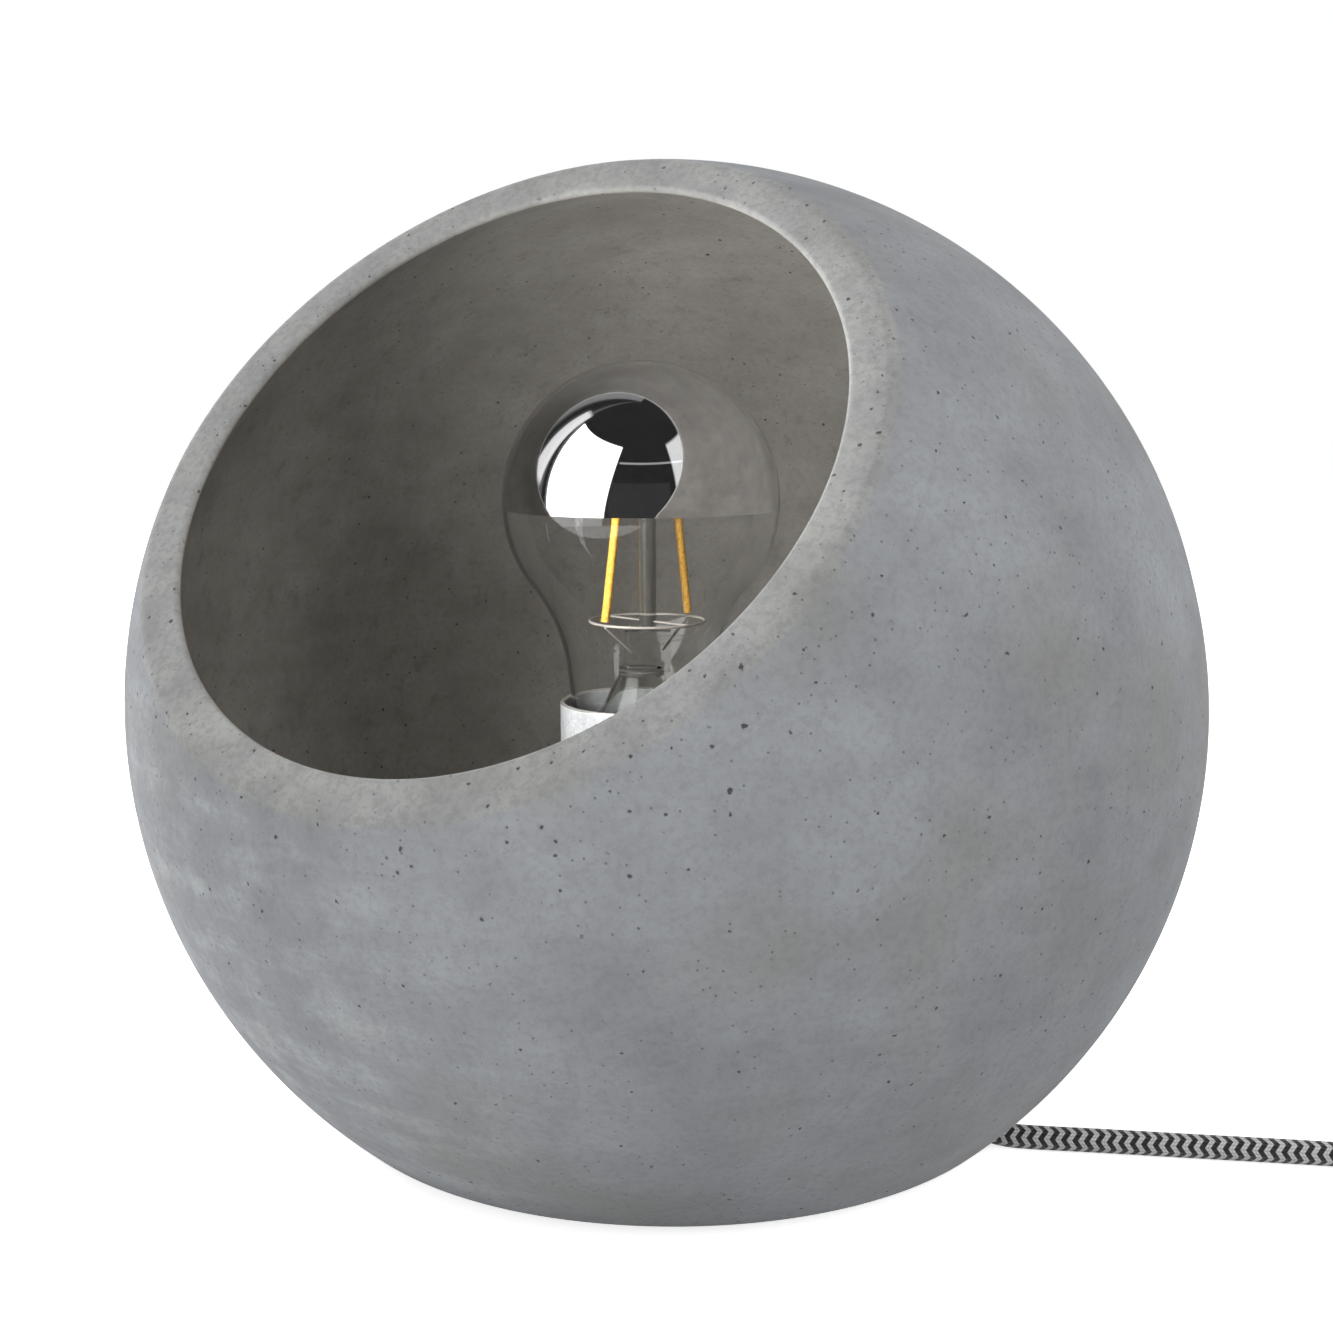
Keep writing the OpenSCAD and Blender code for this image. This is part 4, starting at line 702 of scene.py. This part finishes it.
# Filaments: two slim glass sticks coated in yellow phosphor. They lean together at the top of the mount and
# are held by a short metal tail at each end.
phosphor_finish, phosphor_place = new_finish("filament_phosphor")
phosphor_tone = phosphor_place.noise(0.8, 3, 0.6)
surface(phosphor_place, {
    "Base Color": phosphor_tone.rise(0.3, 0.7).blend(rgb(214, 150, 52), rgb(240, 196, 96)),
    "Roughness": phosphor_tone * 0.2 + 0.4, "Normal": phosphor_tone.bump(0.05, 0.5)})
dress(phosphor_finish, "filament_front", "filament_back")

# Bulb cap: nickel-plated brass with its rolled thread, closed by a black glass insulator with the tip contact
# in its middle. A small driver board on green laminate stands inside it.
cap_finish, cap_place = new_finish("cap_metal")
cap_tone = cap_place.noise(3, 4, 0.6)
surface(cap_place, {
    "Base Color": cap_tone.blend(rgb(176, 174, 168), rgb(206, 204, 198)), "Metallic": 1.0,
    "Roughness": cap_tone * 0.2 + 0.2, "Normal": cap_place.noise(0.4, 3, 0.6).bump(0.02, 0.5)})
dress(cap_finish, "bulb_cap", "bulb_contact")
black_glass_finish, black_glass_place = new_finish("black_insulator")
black_tone = black_glass_place.noise(2, 3, 0.5)
surface(black_glass_place, {
    "Base Color": black_tone.blend(rgb(10, 10, 14), rgb(24, 24, 30)), "Roughness": black_tone * 0.1 + 0.12,
    "Normal": black_tone.bump(0.05, 0.4)})
dress(black_glass_finish, "bulb_insulator")
board_finish, board_place = new_finish("circuit_board")
board_tone = board_place.cells(1.6)
surface(board_place, {
    "Base Color": board_tone.rise(0.2, 0.5).blend(rgb(20, 70, 40), rgb(40, 110, 64)),
    "Roughness": board_tone * 0.2 + 0.4, "Normal": board_tone.bump(0.1, 0.5)})
dress(board_finish, "bulb_driver")

# Cord switch and plug: moulded black plastic with lightly rounded edges. The switch's two halves are held
# by two screws and pinch the cord at both ports; the plug's body is moulded round the cord's end.
def ease_edges(width, *nodes):
    """Rounds the sharp edges of moulded CAD parts a little."""
    for name in nodes:
        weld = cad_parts[name].modifiers.new("weld", "WELD")
        weld.merge_threshold = 0.01 * mm
        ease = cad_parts[name].modifiers.new("ease", "BEVEL")
        ease.width, ease.segments, ease.use_clamp_overlap = width * mm, 3, True
        ease.limit_method, ease.angle_limit = "ANGLE", radians(40)


ease_edges(0.7, "switch_base", "switch_cover", "plug_body")
ease_edges(0.4, "switch_rocker")
dress(plastic_finish, "switch_base", "switch_cover", "switch_rocker", "plug_boot", "plug_body", "pin_sleeves")
pin_finish, pin_place = new_finish("pin_metal")
pin_tone = pin_place.noise(2, 3, 0.5)
surface(pin_place, {
    "Base Color": pin_tone.blend(rgb(190, 188, 180), rgb(214, 212, 206)), "Metallic": 1.0,
    "Roughness": pin_tone * 0.15 + 0.2, "Normal": pin_place.noise(0.2, 2, 0.5).bump(0.01, 0.4)})
dress(pin_finish, "plug_pins")

# Floor and background: a plain pale table that runs into white, as in the photograph.
# Mirror, glass and metal see the same white, and the floor keeps the lamp's soft shadow.
def white_rays(tree):
    """1 for the rays that show a background: from the camera, off gloss and through glass."""
    kinds = tree.nodes.new("ShaderNodeLightPath").outputs
    camera_ray, gloss_ray, glass_ray = (
        Link(tree, kinds["Is %s Ray" % kind]) for kind in ("Camera", "Glossy", "Transmission"))
    return camera_ray.math("MAXIMUM", camera_ray, gloss_ray.math("MAXIMUM", gloss_ray, glass_ray))


floor_glow, floor_reach, room_light = 0.78, 3, 0.2
floor_finish, floor_place = new_finish("pale_floor")
surface(floor_place, {
    "Base Color": floor_place.noise(60, 3, 0.5).blend(rgb(226, 226, 226), rgb(232, 232, 232)), "Roughness": 0.8,
    "Emission Color": (white_rays(floor_place.tree) * floor_glow).blend(rgb(0, 0, 0), rgb(255, 255, 255)),
    "Emission Strength": 1.0})
shape = bmesh.new()
bmesh.ops.create_grid(shape, x_segments=4, y_segments=4, size=floor_reach)
mesh = bpy.data.meshes.new("floor")
shape.to_mesh(mesh)
shape.free()
floor = bpy.data.objects.new("floor", mesh)
mesh.materials.append(floor_finish)
bpy.context.collection.objects.link(floor)

sky = bpy.data.worlds.new("white_room")
sky.use_nodes = True
bpy.context.scene.world = sky
background = sky.node_tree.nodes["Background"]
background.inputs["Color"].default_value = (1, 1, 1, 1)
sky_strength = white_rays(sky.node_tree) * (1 - room_light) + room_light
sky.node_tree.links.new(sky_strength.socket, background.inputs["Strength"])

# Studio light: a big softbox in front at the left, two lights at the right, one at the left and one behind and
# above, all aimed at the middle of the ball. The mirror sees the dark studio further down in their place.
def around(turn, rise, distance):
    """A place round the bulb: degrees from the front toward +X, degrees up, metres away."""
    t, r = radians(turn), radians(rise)
    return Vector((sin(t) * cos(r), -cos(t) * cos(r), sin(r))) * distance + bulb_frame.translation


def aimed(place, target):
    """The matrix of a light that stands at a place and shines at a target."""
    return Matrix.Translation(place) @ (target - place).to_track_quat("-Z", "Y").to_matrix().to_4x4()


aim = Vector((0, 0, 0.1))
for name, turn, rise, distance, width, height, power in (
        ("softbox", -24, 21, 1.0, 1.0, 1.0, 3.5),
        ("right_window", 66, 34, 1.1, 0.45, 0.6, 3.9),
        ("right_light", 120, 28, 1.2, 0.6, 0.9, 4.2),
        ("left_light", -100, 25, 1.2, 0.6, 0.9, 18.0),
        ("top_light", 150, 70, 1.2, 1.0, 0.8, 3.2)):
    lamp = bpy.data.lights.new(name, "AREA")
    lamp.shape, lamp.size, lamp.size_y, lamp.energy = "RECTANGLE", width, height, power
    stand = bpy.data.objects.new(name, lamp)
    stand.matrix_world = aimed(around(turn, rise, distance), aim)
    stand.visible_glossy = stand.visible_transmission = False
    bpy.context.collection.objects.link(stand)

# Fill lights: a narrow soft beam from beside the camera reaches through the mouth, and a small soft light
# at the mouth shines up into the ball, as the white table does.
for name, size, power, spread, place, target in (
        ("beam_fill", 0.16, 0.011, 27, around(36, -4, 0.42), Vector((-0.05, -0.03, 0.185))),
        ("mouth_fill", 0.05, 0.14, 124,
         mouth_frame @ Vector((-0.015, -0.03, 0.1)), mouth_frame @ Vector((0.08, 0.085, -0.05)))):
    lamp = bpy.data.lights.new(name, "AREA")
    lamp.shape, lamp.size, lamp.energy, lamp.spread = "DISK", size, power, radians(spread)
    stand = bpy.data.objects.new(name, lamp)
    stand.matrix_world = aimed(place, target)
    stand.visible_camera = stand.visible_glossy = stand.visible_transmission = False
    bpy.context.collection.objects.link(stand)

# Dark studio: a black shell in front of the lamp that only gloss and glass show. It has the softbox and the
# windows in it, so that the silvered crown shows what it shows in the photograph. Their edges are given in
# degrees round the bulb, from the front toward +X, and degrees up.
studio_r, studio_low, studio_back, softbox_glow = 0.5, 0.002, 0.12, 3.0
studio_finish, studio_place = new_finish("dark_studio")
toward = studio_place.vector("NORMALIZE", studio_place.vector("SUBTRACT", studio_place, bulb_frame.translation))
toward_x = toward.node("SeparateXYZ", {}, {0: toward})
turn = toward.math("DEGREES", toward.math("ARCTAN2", toward_x, -1 * toward_x.output("Y")))
rise = toward.math("DEGREES", toward.math("ARCSINE", toward_x.output("Z")))
softbox = turn.rise(-53.2, -52.2) * (turn - rise * 0.2).rise(1.6, 0.2) * (rise + turn * 0.13).rise(47.6, 46.8)
strip = (turn - rise * 0.1).rise(-77, -75) * (turn - rise * 0.12).rise(-62.5, -64)
strip = strip * rise.rise(6, 14) * rise.rise(62, 58)
beyond = (turn + rise * 0.1).rise(-76, -84) * rise.rise(5, 30)
gap = turn.rise(-58, -60) * turn.rise(-66, -63)
line = rise.math("ABSOLUTE", rise - 33).rise(1.0, 0.5) * turn.rise(9, 11)
desk = turn.rise(1, 5) * turn.rise(54, 52) * rise.rise(18, 16.5)
window = (turn + rise * 0.05).rise(58, 60) * rise.rise(8, 14) * (rise - turn * 0.3).rise(32, 29)
shine = (softbox * softbox_glow + strip * 0.85 + beyond * 0.22 + gap * 0.1 + line * 0.4 + desk * 0.018
         + window * 0.8)
surface(studio_place, {
    "Base Color": shine.rise(0, 1).blend(rgb(12, 12, 13), rgb(16, 16, 17)), "Roughness": 0.9,
    "Emission Color": (shine / softbox_glow).blend(rgb(0, 0, 0), rgb(255, 255, 255)),
    "Emission Strength": softbox_glow})
shape = bmesh.new()
bmesh.ops.create_uvsphere(
    shape, u_segments=64, v_segments=32, radius=studio_r, matrix=Matrix.Translation(bulb_frame.translation))
for plane, keep in (((0, 0, studio_low), (0, 0, 1)), ((0, studio_back, 0), (0, -1, 0))):
    geom = shape.verts[:] + shape.edges[:] + shape.faces[:]
    bmesh.ops.bisect_plane(shape, geom=geom, plane_co=plane, plane_no=keep, clear_inner=True, dist=1e-7)
mesh = bpy.data.meshes.new("dark_studio")
shape.to_mesh(mesh)
shape.free()
mesh.materials.append(studio_finish)
studio = bpy.data.objects.new("dark_studio", mesh)
studio.visible_camera = studio.visible_diffuse = studio.visible_shadow = False
bpy.context.collection.objects.link(studio)

bpy.context.scene.view_settings.view_transform = "Standard"
